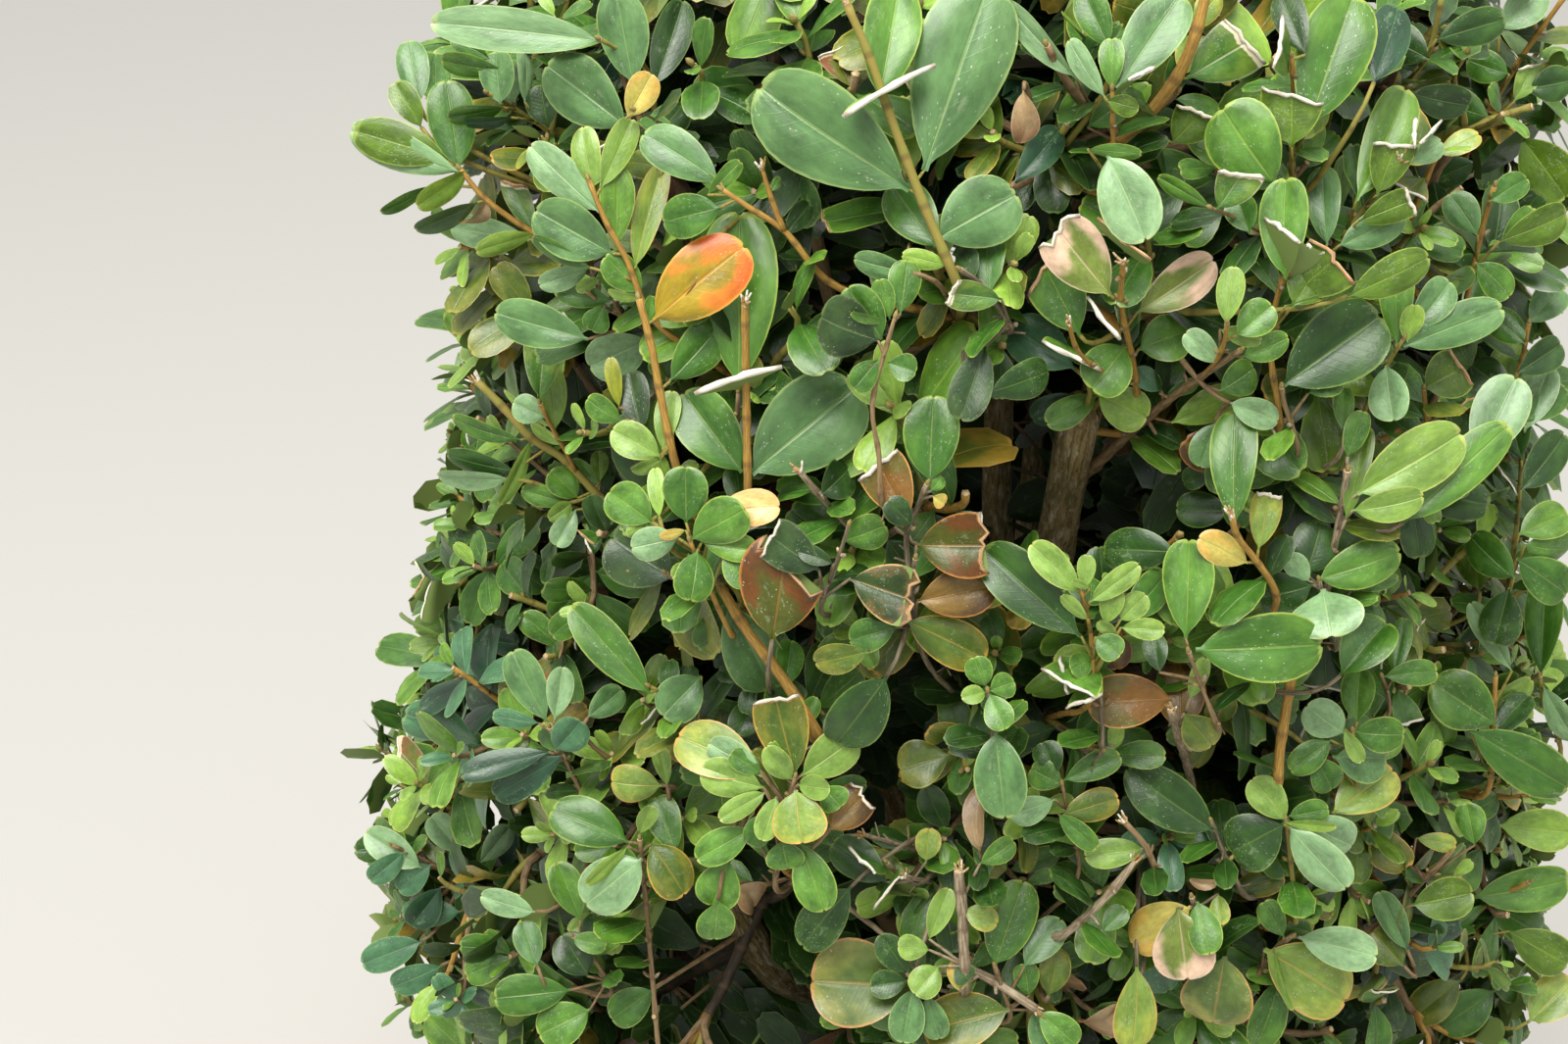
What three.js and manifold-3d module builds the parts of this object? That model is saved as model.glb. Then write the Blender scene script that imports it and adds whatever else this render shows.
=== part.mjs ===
// A clipped box bush (rounded topiary, grown a little out of its clip) in its
// plastic pot. Millimetres, +Z up. The origin is the middle of the pot's flat
// underside; the side that is seen from the front faces -Y.
//
// Order of the pieces: pot, soil, short trunk, boughs, masses of foliage.
// Every mass is a cell of the crown: the crown is divided by direction from one
// inner point, so neighbouring masses never overlap, and a narrow groove or a
// dark hollow is left between them.

import * as THREE from "three";
import { mergeVertices } from "three/addons/utils/BufferGeometryUtils.js";
import Module from "manifold-3d";

const wasm = await Module();
wasm.setup();

// ---------------------------------------------------------------- sizes (mm)
const GAP = 0.3; // clearance between pieces that touch

// pot: moulded plastic, tapered wall, thick rolled rim
const POT_HEIGHT = 220;
const POT_BASE_RADIUS = 97;
const POT_NECK_RADIUS = 128; // outside of the wall just under the rim
const POT_RIM_RADIUS = 140;
const POT_RIM_HEIGHT = 24;
const POT_WALL = 3.4;
const POT_FLOOR = 5;
const POT_SIDES = 36;

// soil: fills the pot to a little under the rim, slightly mounded at the stem
const SOIL_EDGE_Z = 203;
const SOIL_MOUND = 4;

// trunk: short stem from a flat cut on the soil up to the fork
const TRUNK_FLARE_RADIUS = 19;
const TRUNK_RADIUS = 12.5;
const TRUNK_TOP_RADIUS = 11;
const TRUNK_HEIGHT = 40;
const TRUNK_LEAN = new THREE.Vector2(4, -3);

// boughs
const BOUGH_RADIUS = 6.2; // at the fork
const BOUGH_TIP_RADIUS = 3.4;
const BOUGH_SIDES = 6;
const BOUGH_STEPS = 5;

// crown: outline of revolution, then lumps; widest low down, as the bush in
// view is, with steep sides and a rounded top
const CROWN_TOP = 652;
const CROWN_WAIST = 312; // height of the widest place
const CROWN_FOOT = 186;
const CROWN_RADIUS = 188;
const CROWN_UPPER_POWER = 2.6;
const CROWN_LOWER_POWER = 2.2;
const CROWN_DIP = 0.1; // sides drawn in above the waist
const CROWN_HEART = new THREE.Vector3(0, 0, 400); // point the masses are laid round
const CROWN_UNDERSIDE = 224; // the masses are flattened here, just over the rim,
const SKIRT_UNDERSIDE = 206; // and hang lower than that outside the pot
const LUMP = 6; // height of the small unevenness

// bulges and hollows of the outline: bearing (degrees from the front, positive
// to the right), height, half-width of each, and how far it stands out
const BULGES = [
  { bearing: -88, z: 562, spread: 38, rise: 30, out: 7 }, // left shoulder
  { bearing: -92, z: 512, spread: 34, rise: 26, out: -9 }, // left waist
  { bearing: -80, z: 262, spread: 42, rise: 34, out: 10 }, // left foot
  { bearing: 86, z: 586, spread: 40, rise: 36, out: 13 }, // right shoulder
  { bearing: 84, z: 452, spread: 30, rise: 34, out: -6 }, // right waist
  { bearing: 70, z: 275, spread: 44, rise: 36, out: 9 }, // right foot
  { bearing: 178, z: 420, spread: 40, rise: 60, out: 6 }, // back
  { bearing: 140, z: 540, spread: 30, rise: 30, out: -6 },
  { bearing: -140, z: 330, spread: 30, rise: 34, out: -7 },
];

// the masses: rings of cells round the crown, by angle from straight up
const RINGS = [
  { name: "top", polar: 6, count: 1, first: 60, weight: -1, words: [""] },
  {
    name: "upper", polar: 53, count: 4, first: -42, weight: 0,
    words: ["front_left", "front_right", "back_right", "back_left"],
  },
  {
    name: "middle", polar: 86, count: 5, first: 16, weight: 0,
    words: ["front", "right", "back", "left_back", "front_left"],
  },
  {
    name: "lower", polar: 116, count: 4, first: -20, weight: 0,
    words: ["front", "right", "back", "left"],
  },
];
const MASS_INNER = 0.53; // inner face of a mass, as a share of the crown radius
const MASS_SHOULDER = 0.88; // where a mass is widest
const MASS_GROOVE = 1.3; // degrees left between neighbours
const MASS_ROUND = 0.47; // lower is boxier
const MASS_DETAIL = 4; // front masses; those at the back are a step coarser

// places with no foliage: the open foot round the stem, and the hollows that
// show the stems inside; reach is how far the space opens, in degrees
const HOLLOWS = [
  { bearing: 0, polar: 180, reach: 38 },
  { bearing: 7, polar: 51, reach: 7 },
  { bearing: -22, polar: 94, reach: 7.5 },
  { bearing: 50, polar: 71, reach: 3 },
  { bearing: -128, polar: 72, reach: 4 },
  { bearing: 124, polar: 103, reach: 4.5 },
];

// two boughs that the hollows show: they run up through them
const SHOWN_BOUGHS = [
  {
    name: "bough_front_hollow",
    radius: 7.2, tip: 4.8,
    points: [[6, -6, 262], [8, -38, 352], [13, -78, 436], [20, -101, 492], [25, -112, 520]],
  },
  {
    name: "bough_low_hollow",
    radius: 7, tip: 4,
    points: [[-6, -8, 256], [-30, -66, 292], [-56, -112, 334], [-74, -122, 384], [-80, -116, 408]],
  },
];

// ------------------------------------------------------------------- helpers
const rad = THREE.MathUtils.degToRad;

/** Bearing 0 faces -Y, positive turns to +X; polar 0 is straight up. */
function direction(bearing, polar) {
  const a = rad(bearing);
  const p = rad(polar);
  return new THREE.Vector3(Math.sin(p) * Math.sin(a), -Math.sin(p) * Math.cos(a), Math.cos(p));
}

/** Only position, shared corners merged, faces turned outward. */
function closed(geometry) {
  geometry.deleteAttribute("normal");
  geometry.deleteAttribute("uv");
  const g = mergeVertices(geometry, 1e-4);
  const p = g.attributes.position;
  const index = Array.from(g.index.array);
  const kept = [];
  let volume = 0;
  const a = new THREE.Vector3();
  const b = new THREE.Vector3();
  const c = new THREE.Vector3();
  for (let i = 0; i < index.length; i += 3) {
    const [u, v, w] = [index[i], index[i + 1], index[i + 2]];
    if (u === v || v === w || u === w) continue;
    kept.push(u, v, w);
    a.fromBufferAttribute(p, u);
    b.fromBufferAttribute(p, v);
    c.fromBufferAttribute(p, w);
    volume += a.dot(b.cross(c));
  }
  if (volume < 0) {
    for (let i = 0; i < kept.length; i += 3) [kept[i + 1], kept[i + 2]] = [kept[i + 2], kept[i + 1]];
  }
  g.setIndex(kept);
  return g;
}

function toSolid(geometry) {
  return new wasm.Manifold(
    new wasm.Mesh({
      numProp: 3,
      vertProperties: Float32Array.from(geometry.attributes.position.array),
      triVerts: Uint32Array.from(geometry.index.array),
    }),
  );
}

function fromSolid(solid) {
  const mesh = solid.getMesh();
  const g = new THREE.BufferGeometry();
  g.setAttribute("position", new THREE.BufferAttribute(Float32Array.from(mesh.vertProperties), 3));
  g.setIndex(Array.from(mesh.triVerts));
  return g;
}

/** A tapering limb: a cylinder bent along a curve. grow makes a fatter copy for cutting. */
function limb(curve, radiusAt, sides, steps, grow = 0) {
  const g = new THREE.CylinderGeometry(1, 1, 1, sides, steps);
  const frames = curve.computeFrenetFrames(steps, false);
  const points = [];
  for (let i = 0; i <= steps; i++) points.push(curve.getPointAt(i / steps));
  const p = g.attributes.position;
  const out = new THREE.Vector3();
  for (let k = 0; k < p.count; k++) {
    const t = p.getY(k) + 0.5;
    const i = Math.round(t * steps);
    const r = radiusAt(i / steps) + grow;
    out.copy(points[i]);
    out.addScaledVector(frames.normals[i], p.getX(k) * r);
    out.addScaledVector(frames.binormals[i], p.getZ(k) * r);
    if (i === 0) out.addScaledVector(frames.tangents[i], -grow);
    if (i === steps) out.addScaledVector(frames.tangents[i], grow);
    p.setXYZ(k, out.x, out.y, out.z);
  }
  return closed(g);
}

// --------------------------------------------------------------------- crown
function bulge(bearing, z) {
  let sum = 0;
  for (const b of BULGES) {
    const turn = Math.abs(((bearing - b.bearing + 540) % 360) - 180) / b.spread;
    const lift = (z - b.z) / b.rise;
    sum += b.out * Math.exp(-(turn * turn) - lift * lift);
  }
  return sum;
}

/** Radius of the crown's outline at a height and bearing; negative outside it. */
function outline(bearing, z) {
  if (z >= CROWN_TOP || z <= CROWN_FOOT) return -1;
  let r;
  if (z > CROWN_WAIST) {
    const u = (z - CROWN_WAIST) / (CROWN_TOP - CROWN_WAIST);
    const dip = 1 - CROWN_DIP * Math.sin(Math.PI * Math.min(1, u / 0.85));
    r = CROWN_RADIUS * Math.pow(1 - Math.pow(u, CROWN_UPPER_POWER), 1 / CROWN_UPPER_POWER) * dip;
  } else {
    const u = (CROWN_WAIST - z) / (CROWN_WAIST - CROWN_FOOT);
    r = CROWN_RADIUS * Math.pow(1 - Math.pow(u, CROWN_LOWER_POWER), 1 / CROWN_LOWER_POWER);
  }
  return r + bulge(bearing, z) * Math.min(1, r / 60);
}

/** Distance from the heart to the outline in a direction. */
function crownRadius(dir) {
  const bearing = THREE.MathUtils.radToDeg(Math.atan2(dir.x, -dir.y));
  let low = 0;
  let high = 420;
  for (let i = 0; i < 40; i++) {
    const s = (low + high) / 2;
    const inside = Math.hypot(dir.x, dir.y) * s < outline(bearing, CROWN_HEART.z + dir.z * s);
    if (inside) low = s;
    else high = s;
  }
  return low;
}

/** Small smooth unevenness, between about -1 and 1. */
function uneven(d, seed) {
  return (
    Math.sin(7.1 * d.x + 3.3 * d.y + seed) * Math.cos(5.7 * d.z - 4.1 * d.y + 1.7 * seed) * 0.6 +
    Math.sin(13.3 * d.y - 9.1 * d.z + 2.3 * seed) * Math.cos(11.7 * d.x + 0.9 * seed) * 0.4
  );
}

const cells = [];
for (const ring of RINGS) {
  for (let k = 0; k < ring.count; k++) {
    const bearing = ring.first + (k * 360) / ring.count;
    cells.push({
      name: ["foliage", ring.name, ring.words[k]].filter(Boolean).join("_"),
      short: [ring.name, ring.words[k]].filter(Boolean).join("_"),
      dir: direction(bearing, ring.polar + 3 * Math.sin(5 * k + ring.polar)),
      weight: rad(ring.weight),
    });
  }
}
const hollows = HOLLOWS.map((h) => ({ dir: direction(h.bearing, h.polar), reach: rad(h.reach) }));

/** How far a cell reaches from its middle towards psi, as an angle. */
function reach(cell, east, north, psi) {
  const side = east.clone().multiplyScalar(Math.cos(psi)).addScaledVector(north, Math.sin(psi));
  const at = (t) => cell.dir.clone().multiplyScalar(Math.cos(t)).addScaledVector(side, Math.sin(t));
  const clear = (t) => {
    const d = at(t);
    for (const other of cells) {
      if (other === cell) continue;
      if (d.angleTo(other.dir) - other.weight < t - cell.weight) return false;
    }
    for (const h of hollows) if (d.angleTo(h.dir) < h.reach) return false;
    return true;
  };
  let t = 0;
  const step = rad(0.5);
  while (t < rad(80) && clear(t + step)) t += step;
  return t - rad(MASS_GROOVE / 2);
}

function mass(cell, seed) {
  const up = Math.abs(cell.dir.z) > 0.9 ? new THREE.Vector3(0, 1, 0) : new THREE.Vector3(0, 0, 1);
  const east = new THREE.Vector3().crossVectors(up, cell.dir).normalize();
  const north = new THREE.Vector3().crossVectors(cell.dir, east).normalize();
  const SLOTS = 72;
  const raw = [];
  for (let i = 0; i < SLOTS; i++) raw.push(reach(cell, east, north, (i / SLOTS) * 2 * Math.PI));
  const reachAt = (psi) => {
    // never past the raw limit, and eased round its corners
    const f = ((((psi / (2 * Math.PI)) % 1) + 1) % 1) * SLOTS;
    const i = Math.floor(f);
    const exact = Math.min(raw[i % SLOTS], raw[(i + 1) % SLOTS]);
    let sum = 0;
    for (let k = -2; k <= 2; k++) sum += raw[(i + k + SLOTS) % SLOTS];
    return Math.min(exact, sum / 5);
  };
  const g = new THREE.IcosahedronGeometry(1, cell.dir.y > 0.3 ? MASS_DETAIL - 1 : MASS_DETAIL);
  g.deleteAttribute("normal");
  g.deleteAttribute("uv");
  const ball = mergeVertices(g, 1e-4);
  const p = ball.attributes.position;
  const v = new THREE.Vector3();
  for (let k = 0; k < p.count; k++) {
    v.fromBufferAttribute(p, k).normalize();
    const s = Math.hypot(v.x, v.y);
    const psi = Math.atan2(v.y, v.x);
    const share = Math.pow(Math.min(1, s), MASS_ROUND);
    const t = reachAt(psi) * share;
    const depth = Math.sign(v.z) * Math.pow(Math.abs(v.z), MASS_ROUND);
    const side = east.clone().multiplyScalar(Math.cos(psi)).addScaledVector(north, Math.sin(psi));
    const d = cell.dir.clone().multiplyScalar(Math.cos(t)).addScaledVector(side, Math.sin(t));
    const whole = crownRadius(d);
    const rho =
      depth >= 0
        ? MASS_SHOULDER + (1 - MASS_SHOULDER) * depth
        : MASS_SHOULDER + (MASS_SHOULDER - MASS_INNER) * depth;
    const lump = LUMP * uneven(d.clone().multiplyScalar(1.4), seed) * Math.max(0.25, depth);
    const q = CROWN_HEART.clone().addScaledVector(d, rho * whole + lump);
    const past = THREE.MathUtils.clamp((Math.hypot(q.x, q.y) - POT_RIM_RADIUS - 8) / 14, 0, 1);
    const floor = CROWN_UNDERSIDE + (SKIRT_UNDERSIDE - CROWN_UNDERSIDE) * past;
    if (q.z < floor) q.z = floor + 0.08 * (q.z - floor);
    p.setXYZ(k, q.x, q.y, q.z);
  }
  return closed(ball);
}

// ------------------------------------------------------------ pot, soil, stem
function potGeometry() {
  const neckZ = POT_HEIGHT - POT_RIM_HEIGHT;
  const profile = [
    [0, 0],
    [POT_BASE_RADIUS - 3, 0],
    [POT_BASE_RADIUS, 3.5],
    [POT_NECK_RADIUS, neckZ],
    [POT_RIM_RADIUS - 4, neckZ + 1],
    [POT_RIM_RADIUS, neckZ + 6],
    [POT_RIM_RADIUS, POT_HEIGHT - 7],
    [POT_RIM_RADIUS - 4, POT_HEIGHT - 1],
    [POT_RIM_RADIUS - 9, POT_HEIGHT],
    [POT_NECK_RADIUS - POT_WALL + 1, POT_HEIGHT - 5],
    [POT_NECK_RADIUS - POT_WALL, neckZ],
    [POT_BASE_RADIUS - POT_WALL, POT_FLOOR],
    [0, POT_FLOOR],
  ].map(([r, z]) => new THREE.Vector2(r, z));
  return closed(new THREE.LatheGeometry(profile, POT_SIDES).rotateX(Math.PI / 2));
}

function soilGeometry() {
  const neckZ = POT_HEIGHT - POT_RIM_HEIGHT;
  const inner = (z) =>
    z <= neckZ
      ? POT_BASE_RADIUS - POT_WALL +
        ((POT_NECK_RADIUS - POT_BASE_RADIUS) * (z - POT_FLOOR)) / (neckZ - POT_FLOOR)
      : POT_NECK_RADIUS - POT_WALL;
  const low = POT_FLOOR + GAP;
  const facet = 1 / Math.cos(Math.PI / POT_SIDES);
  const profile = [
    [0, low],
    [inner(low) - GAP * facet, low],
    [inner(neckZ) - GAP * facet, neckZ],
    [inner(SOIL_EDGE_Z) - GAP * facet, SOIL_EDGE_Z],
    [70, SOIL_EDGE_Z + SOIL_MOUND * 0.7],
    [TRUNK_FLARE_RADIUS + 6, SOIL_EDGE_Z + SOIL_MOUND],
    [0, SOIL_EDGE_Z + SOIL_MOUND],
  ].map(([r, z]) => new THREE.Vector2(r, z));
  return closed(new THREE.LatheGeometry(profile, POT_SIDES).rotateX(Math.PI / 2));
}

const stemFoot = new THREE.Vector3(0, 0, SOIL_EDGE_Z + SOIL_MOUND + GAP);
const stemTop = stemFoot
  .clone()
  .add(new THREE.Vector3(TRUNK_LEAN.x, TRUNK_LEAN.y, TRUNK_HEIGHT));

function trunkGeometry(grow = 0) {
  const sides = 12;
  const steps = 6;
  const g = new THREE.CylinderGeometry(1, 1, 1, sides, steps).rotateX(Math.PI / 2);
  const p = g.attributes.position;
  for (let k = 0; k < p.count; k++) {
    const t = p.getZ(k) + 0.5;
    const angle = Math.atan2(p.getY(k), p.getX(k));
    const rootlet = 1 + 0.12 * Math.pow(1 - t, 2) * Math.sin(5 * angle + 0.6);
    const r =
      (TRUNK_RADIUS + (TRUNK_TOP_RADIUS - TRUNK_RADIUS) * t +
        (TRUNK_FLARE_RADIUS - TRUNK_RADIUS) * Math.pow(1 - t, 4)) * rootlet + grow;
    const h = Math.hypot(p.getX(k), p.getY(k));
    const end = t < 0.01 ? -grow : t > 0.99 ? grow : 0;
    p.setXYZ(
      k,
      stemFoot.x + TRUNK_LEAN.x * t * t + Math.cos(angle) * r * h,
      stemFoot.y + TRUNK_LEAN.y * t * t + Math.sin(angle) * r * h,
      stemFoot.z + TRUNK_HEIGHT * t + end,
    );
  }
  return closed(g);
}

// -------------------------------------------------------------------- boughs
function boughPlans() {
  const plans = SHOWN_BOUGHS.map((b) => ({
    name: b.name,
    curve: new THREE.CatmullRomCurve3([
      stemTop.clone().add(new THREE.Vector3(0, 0, -6)),
      ...b.points.map((q) => new THREE.Vector3(...q)),
    ]),
    radius: b.radius,
    tip: b.tip,
    steps: 9,
  }));
  cells.forEach((cell, k) => {
    const whole = crownRadius(cell.dir);
    const end = CROWN_HEART.clone().addScaledVector(cell.dir, whole * (MASS_INNER - 0.035));
    const out = new THREE.Vector3(end.x, end.y, 0);
    const away = Math.max(out.length(), 1);
    const start = stemTop
      .clone()
      .add(new THREE.Vector3((out.x / away) * 5, (out.y / away) * 5, -5 - 2 * (k % 4)));
    const climb = end.z - stemTop.z;
    const bend = start
      .clone()
      .add(new THREE.Vector3(out.x * 0.42, out.y * 0.42, climb * 0.38 + 9 * Math.sin(2.1 * k)));
    const kink = new THREE.Vector3(out.x * 0.78 + 5 * Math.sin(3.7 * k), out.y * 0.78 + 5 * Math.cos(2.9 * k), stemTop.z + climb * 0.74);
    plans.push({
      name: "bough_" + cell.short,
      curve: new THREE.CatmullRomCurve3([start, bend, kink, end]),
      radius: BOUGH_RADIUS - 0.12 * k,
      tip: BOUGH_TIP_RADIUS,
      steps: BOUGH_STEPS,
    });
  });
  return plans;
}

// --------------------------------------------------------------- the assembly
const group = new THREE.Group();

function add(name, geometry, color, roughness) {
  const mesh = new THREE.Mesh(
    geometry,
    new THREE.MeshStandardMaterial({ color, roughness, metalness: 0, flatShading: true }),
  );
  mesh.name = name;
  group.add(mesh);
}

add("pot", potGeometry(), 0xd9714f, 0.5);
add("soil", soilGeometry(), 0x5b4636, 0.95);
add("trunk", trunkGeometry(), 0x7a6450, 0.85);

const masses = cells.map((cell, k) => mass(cell, k + 1));

/** A copy a little larger all round its own middle, for cutting. */
function grown(geometry) {
  const g = geometry.clone();
  g.computeBoundingBox();
  const middle = g.boundingBox.getCenter(new THREE.Vector3());
  const p = g.attributes.position;
  const v = new THREE.Vector3();
  for (let k = 0; k < p.count; k++) {
    v.fromBufferAttribute(p, k).sub(middle).multiplyScalar(1.02).add(middle);
    p.setXYZ(k, v.x, v.y, v.z);
  }
  return g;
}

// each limb is cut clear of the trunk and of the limbs before it, and ends
// where it enters a mass
let taken = toSolid(trunkGeometry(GAP));
for (const g of masses) taken = taken.add(toSolid(grown(g)));
for (const plan of boughPlans()) {
  const radiusAt = (t) =>
    plan.tip + (plan.radius - plan.tip) * Math.pow(1 - t, 1.1) + 1.6 * Math.pow(1 - t, 8);
  const solid = toSolid(limb(plan.curve, radiusAt, BOUGH_SIDES, plan.steps)).subtract(taken);
  const pieces = solid.decompose();
  pieces.sort((a, b) => b.volume() - a.volume());
  add(plan.name, closed(fromSolid(pieces[0])), 0x8a7458, 0.8);
  taken = taken.add(toSolid(limb(plan.curve, radiusAt, BOUGH_SIDES, plan.steps, GAP)));
}

const GREENS = [0x3f6b35, 0x4a7a3a, 0x55843f, 0x3a6338];
cells.forEach((cell, k) => add(cell.name, masses[k], GREENS[k % GREENS.length], 0.6));

export default group;
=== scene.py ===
"""A clipped box bush in its pot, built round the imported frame.

All the working is in millimetres in the row frame and goes to metres when a
mesh is made. The crown's outline, its cells and its boughs follow the same
named sizes as the solids that they replace. Foliage is a branching rule:
boughs, sub-boughs, twigs, shoots, and opposite pairs of leaves on the shoots,
each set turned a quarter from the one before, closing up to a rosette.
"""

import math

import bpy
import numpy as np
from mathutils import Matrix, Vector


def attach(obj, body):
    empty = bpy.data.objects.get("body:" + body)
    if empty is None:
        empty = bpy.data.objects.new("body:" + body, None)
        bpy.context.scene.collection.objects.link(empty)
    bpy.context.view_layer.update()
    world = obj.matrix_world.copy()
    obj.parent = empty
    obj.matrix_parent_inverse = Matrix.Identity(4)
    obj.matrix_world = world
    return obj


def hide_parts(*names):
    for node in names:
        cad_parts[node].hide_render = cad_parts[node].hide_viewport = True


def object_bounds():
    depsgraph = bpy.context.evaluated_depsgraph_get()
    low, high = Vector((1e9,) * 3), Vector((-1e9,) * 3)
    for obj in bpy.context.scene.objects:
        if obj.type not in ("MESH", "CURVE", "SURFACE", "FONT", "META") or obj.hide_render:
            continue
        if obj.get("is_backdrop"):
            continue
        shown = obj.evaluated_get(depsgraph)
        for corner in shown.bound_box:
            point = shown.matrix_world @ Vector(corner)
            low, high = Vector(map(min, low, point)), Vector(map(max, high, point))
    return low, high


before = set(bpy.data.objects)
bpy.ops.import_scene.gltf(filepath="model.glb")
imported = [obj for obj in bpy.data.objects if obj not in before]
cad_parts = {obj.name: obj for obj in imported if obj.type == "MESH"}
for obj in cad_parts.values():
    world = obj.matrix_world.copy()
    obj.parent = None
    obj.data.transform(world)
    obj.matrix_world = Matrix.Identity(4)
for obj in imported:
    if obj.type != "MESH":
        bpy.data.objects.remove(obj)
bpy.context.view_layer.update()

MM = 0.001

# ---------------------------------------------------------------- crown sizes
POT_HEIGHT, POT_BASE, POT_NECK, POT_RIM, POT_RIM_HEIGHT, POT_WALL = 220.0, 97.0, 128.0, 140.0, 24.0, 3.4
SOIL_EDGE, SOIL_MOUND, GAP = 203.0, 4.0, 0.3
CROWN_TOP, CROWN_WAIST, CROWN_FOOT, CROWN_RADIUS = 652.0, 312.0, 186.0, 188.0
UPPER_POWER, LOWER_POWER, CROWN_DIP = 2.6, 2.2, 0.1
HEART = np.array([0.0, 0.0, 400.0])
UNDERSIDE, SKIRT = 224.0, 206.0
BULGES = [
    (-88, 562, 38, 30, 7), (-92, 512, 34, 26, -9), (-80, 262, 42, 34, 10),
    (86, 586, 40, 36, 13), (84, 452, 30, 34, -6), (70, 275, 44, 36, 9),
    (178, 420, 40, 60, 6), (140, 540, 30, 30, -6), (-140, 330, 30, 34, -7),
]
RINGS = [
    ("top", 6, 60, -1, [""]),
    ("upper", 53, -42, 0, ["front_left", "front_right", "back_right", "back_left"]),
    ("middle", 86, 16, 0, ["front", "right", "back", "left_back", "front_left"]),
    ("lower", 116, -20, 0, ["front", "right", "back", "left"]),
]
HOLLOWS = [(0, 180, 38), (7, 51, 7), (-22, 94, 7.5), (50, 71, 3), (-128, 72, 4), (124, 103, 4.5)]
MASS_INNER = 0.53
STEM_FOOT = np.array([0.0, 0.0, SOIL_EDGE + SOIL_MOUND + GAP])
STEM_TOP = STEM_FOOT + np.array([4.0, -3.0, 40.0])
SHOWN_BOUGHS = [
    ("bough_front_hollow", 7.2, 4.8, [[6, -6, 262], [8, -38, 352], [13.5, -78, 436], [14, -101, 492], [14.5, -112, 520]]),
    ("bough_low_hollow", 7.0, 4.0, [[-6, -8, 256], [-30, -66, 292], [-56, -112, 334], [-74, -122, 384], [-80, -116, 408]]),
]

# the photographed view
CAM_PLACE = np.array([-56.0, -558.0, 777.0])
CAM_PITCH = 33.0  # degrees below level
CAM_LENS = 50.0
FOCAL_PX = 1600 * CAM_LENS / 36.0


def unit(v):
    v = np.asarray(v, float)
    return v / np.maximum(np.linalg.norm(v, axis=-1, keepdims=True), 1e-9)


def dot(a, b):
    return (a * b).sum(-1, keepdims=True)


def direction(bearing, polar):
    a, p = math.radians(bearing), math.radians(polar)
    return np.array([math.sin(p) * math.sin(a), -math.sin(p) * math.cos(a), math.cos(p)])


VIEW_FORWARD = np.array([0.0, math.cos(math.radians(CAM_PITCH)), -math.sin(math.radians(CAM_PITCH))])
VIEW_UP = np.array([0.0, math.sin(math.radians(CAM_PITCH)), math.cos(math.radians(CAM_PITCH))])
VIEW_RIGHT = np.array([1.0, 0.0, 0.0])


def to_pixel(p):
    """Place in the photographed frame, 1600 by 1065, and the distance along the view."""
    d = np.asarray(p, float) - CAM_PLACE
    depth = d @ VIEW_FORWARD
    x = 800 + FOCAL_PX * (d @ VIEW_RIGHT) / depth
    y = 532.5 - FOCAL_PX * (d @ VIEW_UP) / depth
    return x, y, depth


# --------------------------------------------------------------------- outline
def bulge(bearing, z):
    total = 0.0
    for b, height, spread, rise, out in BULGES:
        turn = np.abs(((bearing - b + 540) % 360) - 180) / spread
        lift = (z - height) / rise
        total = total + out * np.exp(-turn * turn - lift * lift)
    return total


def outline(bearing, z):
    u = np.clip((z - CROWN_WAIST) / (CROWN_TOP - CROWN_WAIST), 0, 1)
    dip = 1 - CROWN_DIP * np.sin(np.pi * np.minimum(1, u / 0.85))
    high = CROWN_RADIUS * np.power(1 - np.power(u, UPPER_POWER), 1 / UPPER_POWER) * dip
    w = np.clip((CROWN_WAIST - z) / (CROWN_WAIST - CROWN_FOOT), 0, 1)
    low = CROWN_RADIUS * np.power(1 - np.power(w, LOWER_POWER), 1 / LOWER_POWER)
    r = np.where(z > CROWN_WAIST, high, low)
    r = r + bulge(bearing, z) * np.minimum(1, r / 60)
    return np.where((z >= CROWN_TOP) | (z <= CROWN_FOOT), -1.0, r)


def crown_radius(d):
    d = np.atleast_2d(d)
    bearing = np.degrees(np.arctan2(d[:, 0], -d[:, 1]))
    flat = np.hypot(d[:, 0], d[:, 1])
    low, high = np.zeros(len(d)), np.full(len(d), 420.0)
    for _ in range(24):
        s = (low + high) / 2
        inside = flat * s < outline(bearing, HEART[2] + d[:, 2] * s)
        low, high = np.where(inside, s, low), np.where(inside, high, s)
    return low


def surface(d):
    """Points and outward normals of the crown's outline."""
    d = unit(np.atleast_2d(d))
    side = unit(np.cross(d, np.where(np.abs(d[:, 2:3]) > 0.9, [[1.0, 0, 0]], [[0, 0, 1.0]])))
    other = np.cross(d, side)
    e = 0.02
    at = lambda q: HEART + unit(q) * crown_radius(unit(q))[:, None]
    p = at(d)
    n = unit(np.cross(at(d + e * side) - at(d - e * side), at(d + e * other) - at(d - e * other)))
    n = np.where(dot(n, d) < 0, -n, n)
    return p, n


CELLS = []
for ring_name, polar, first, weight, words in RINGS:
    for k, word in enumerate(words):
        CELLS.append((
            "_".join(w for w in (ring_name, word) if w),
            direction(first + k * 360 / len(words), polar + 3 * math.sin(5 * k + polar)),
            math.radians(weight),
        ))
CELL_DIR = np.array([c[1] for c in CELLS])
CELL_WEIGHT = np.array([c[2] for c in CELLS])
HOLLOW_DIR = np.array([direction(b, p) for b, p, _ in HOLLOWS])
HOLLOW_REACH = np.radians([h[2] for h in HOLLOWS])


def cell_of(d):
    angle = np.arccos(np.clip(unit(d) @ CELL_DIR.T, -1, 1)) - CELL_WEIGHT
    return np.argmin(angle, axis=1)


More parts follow.
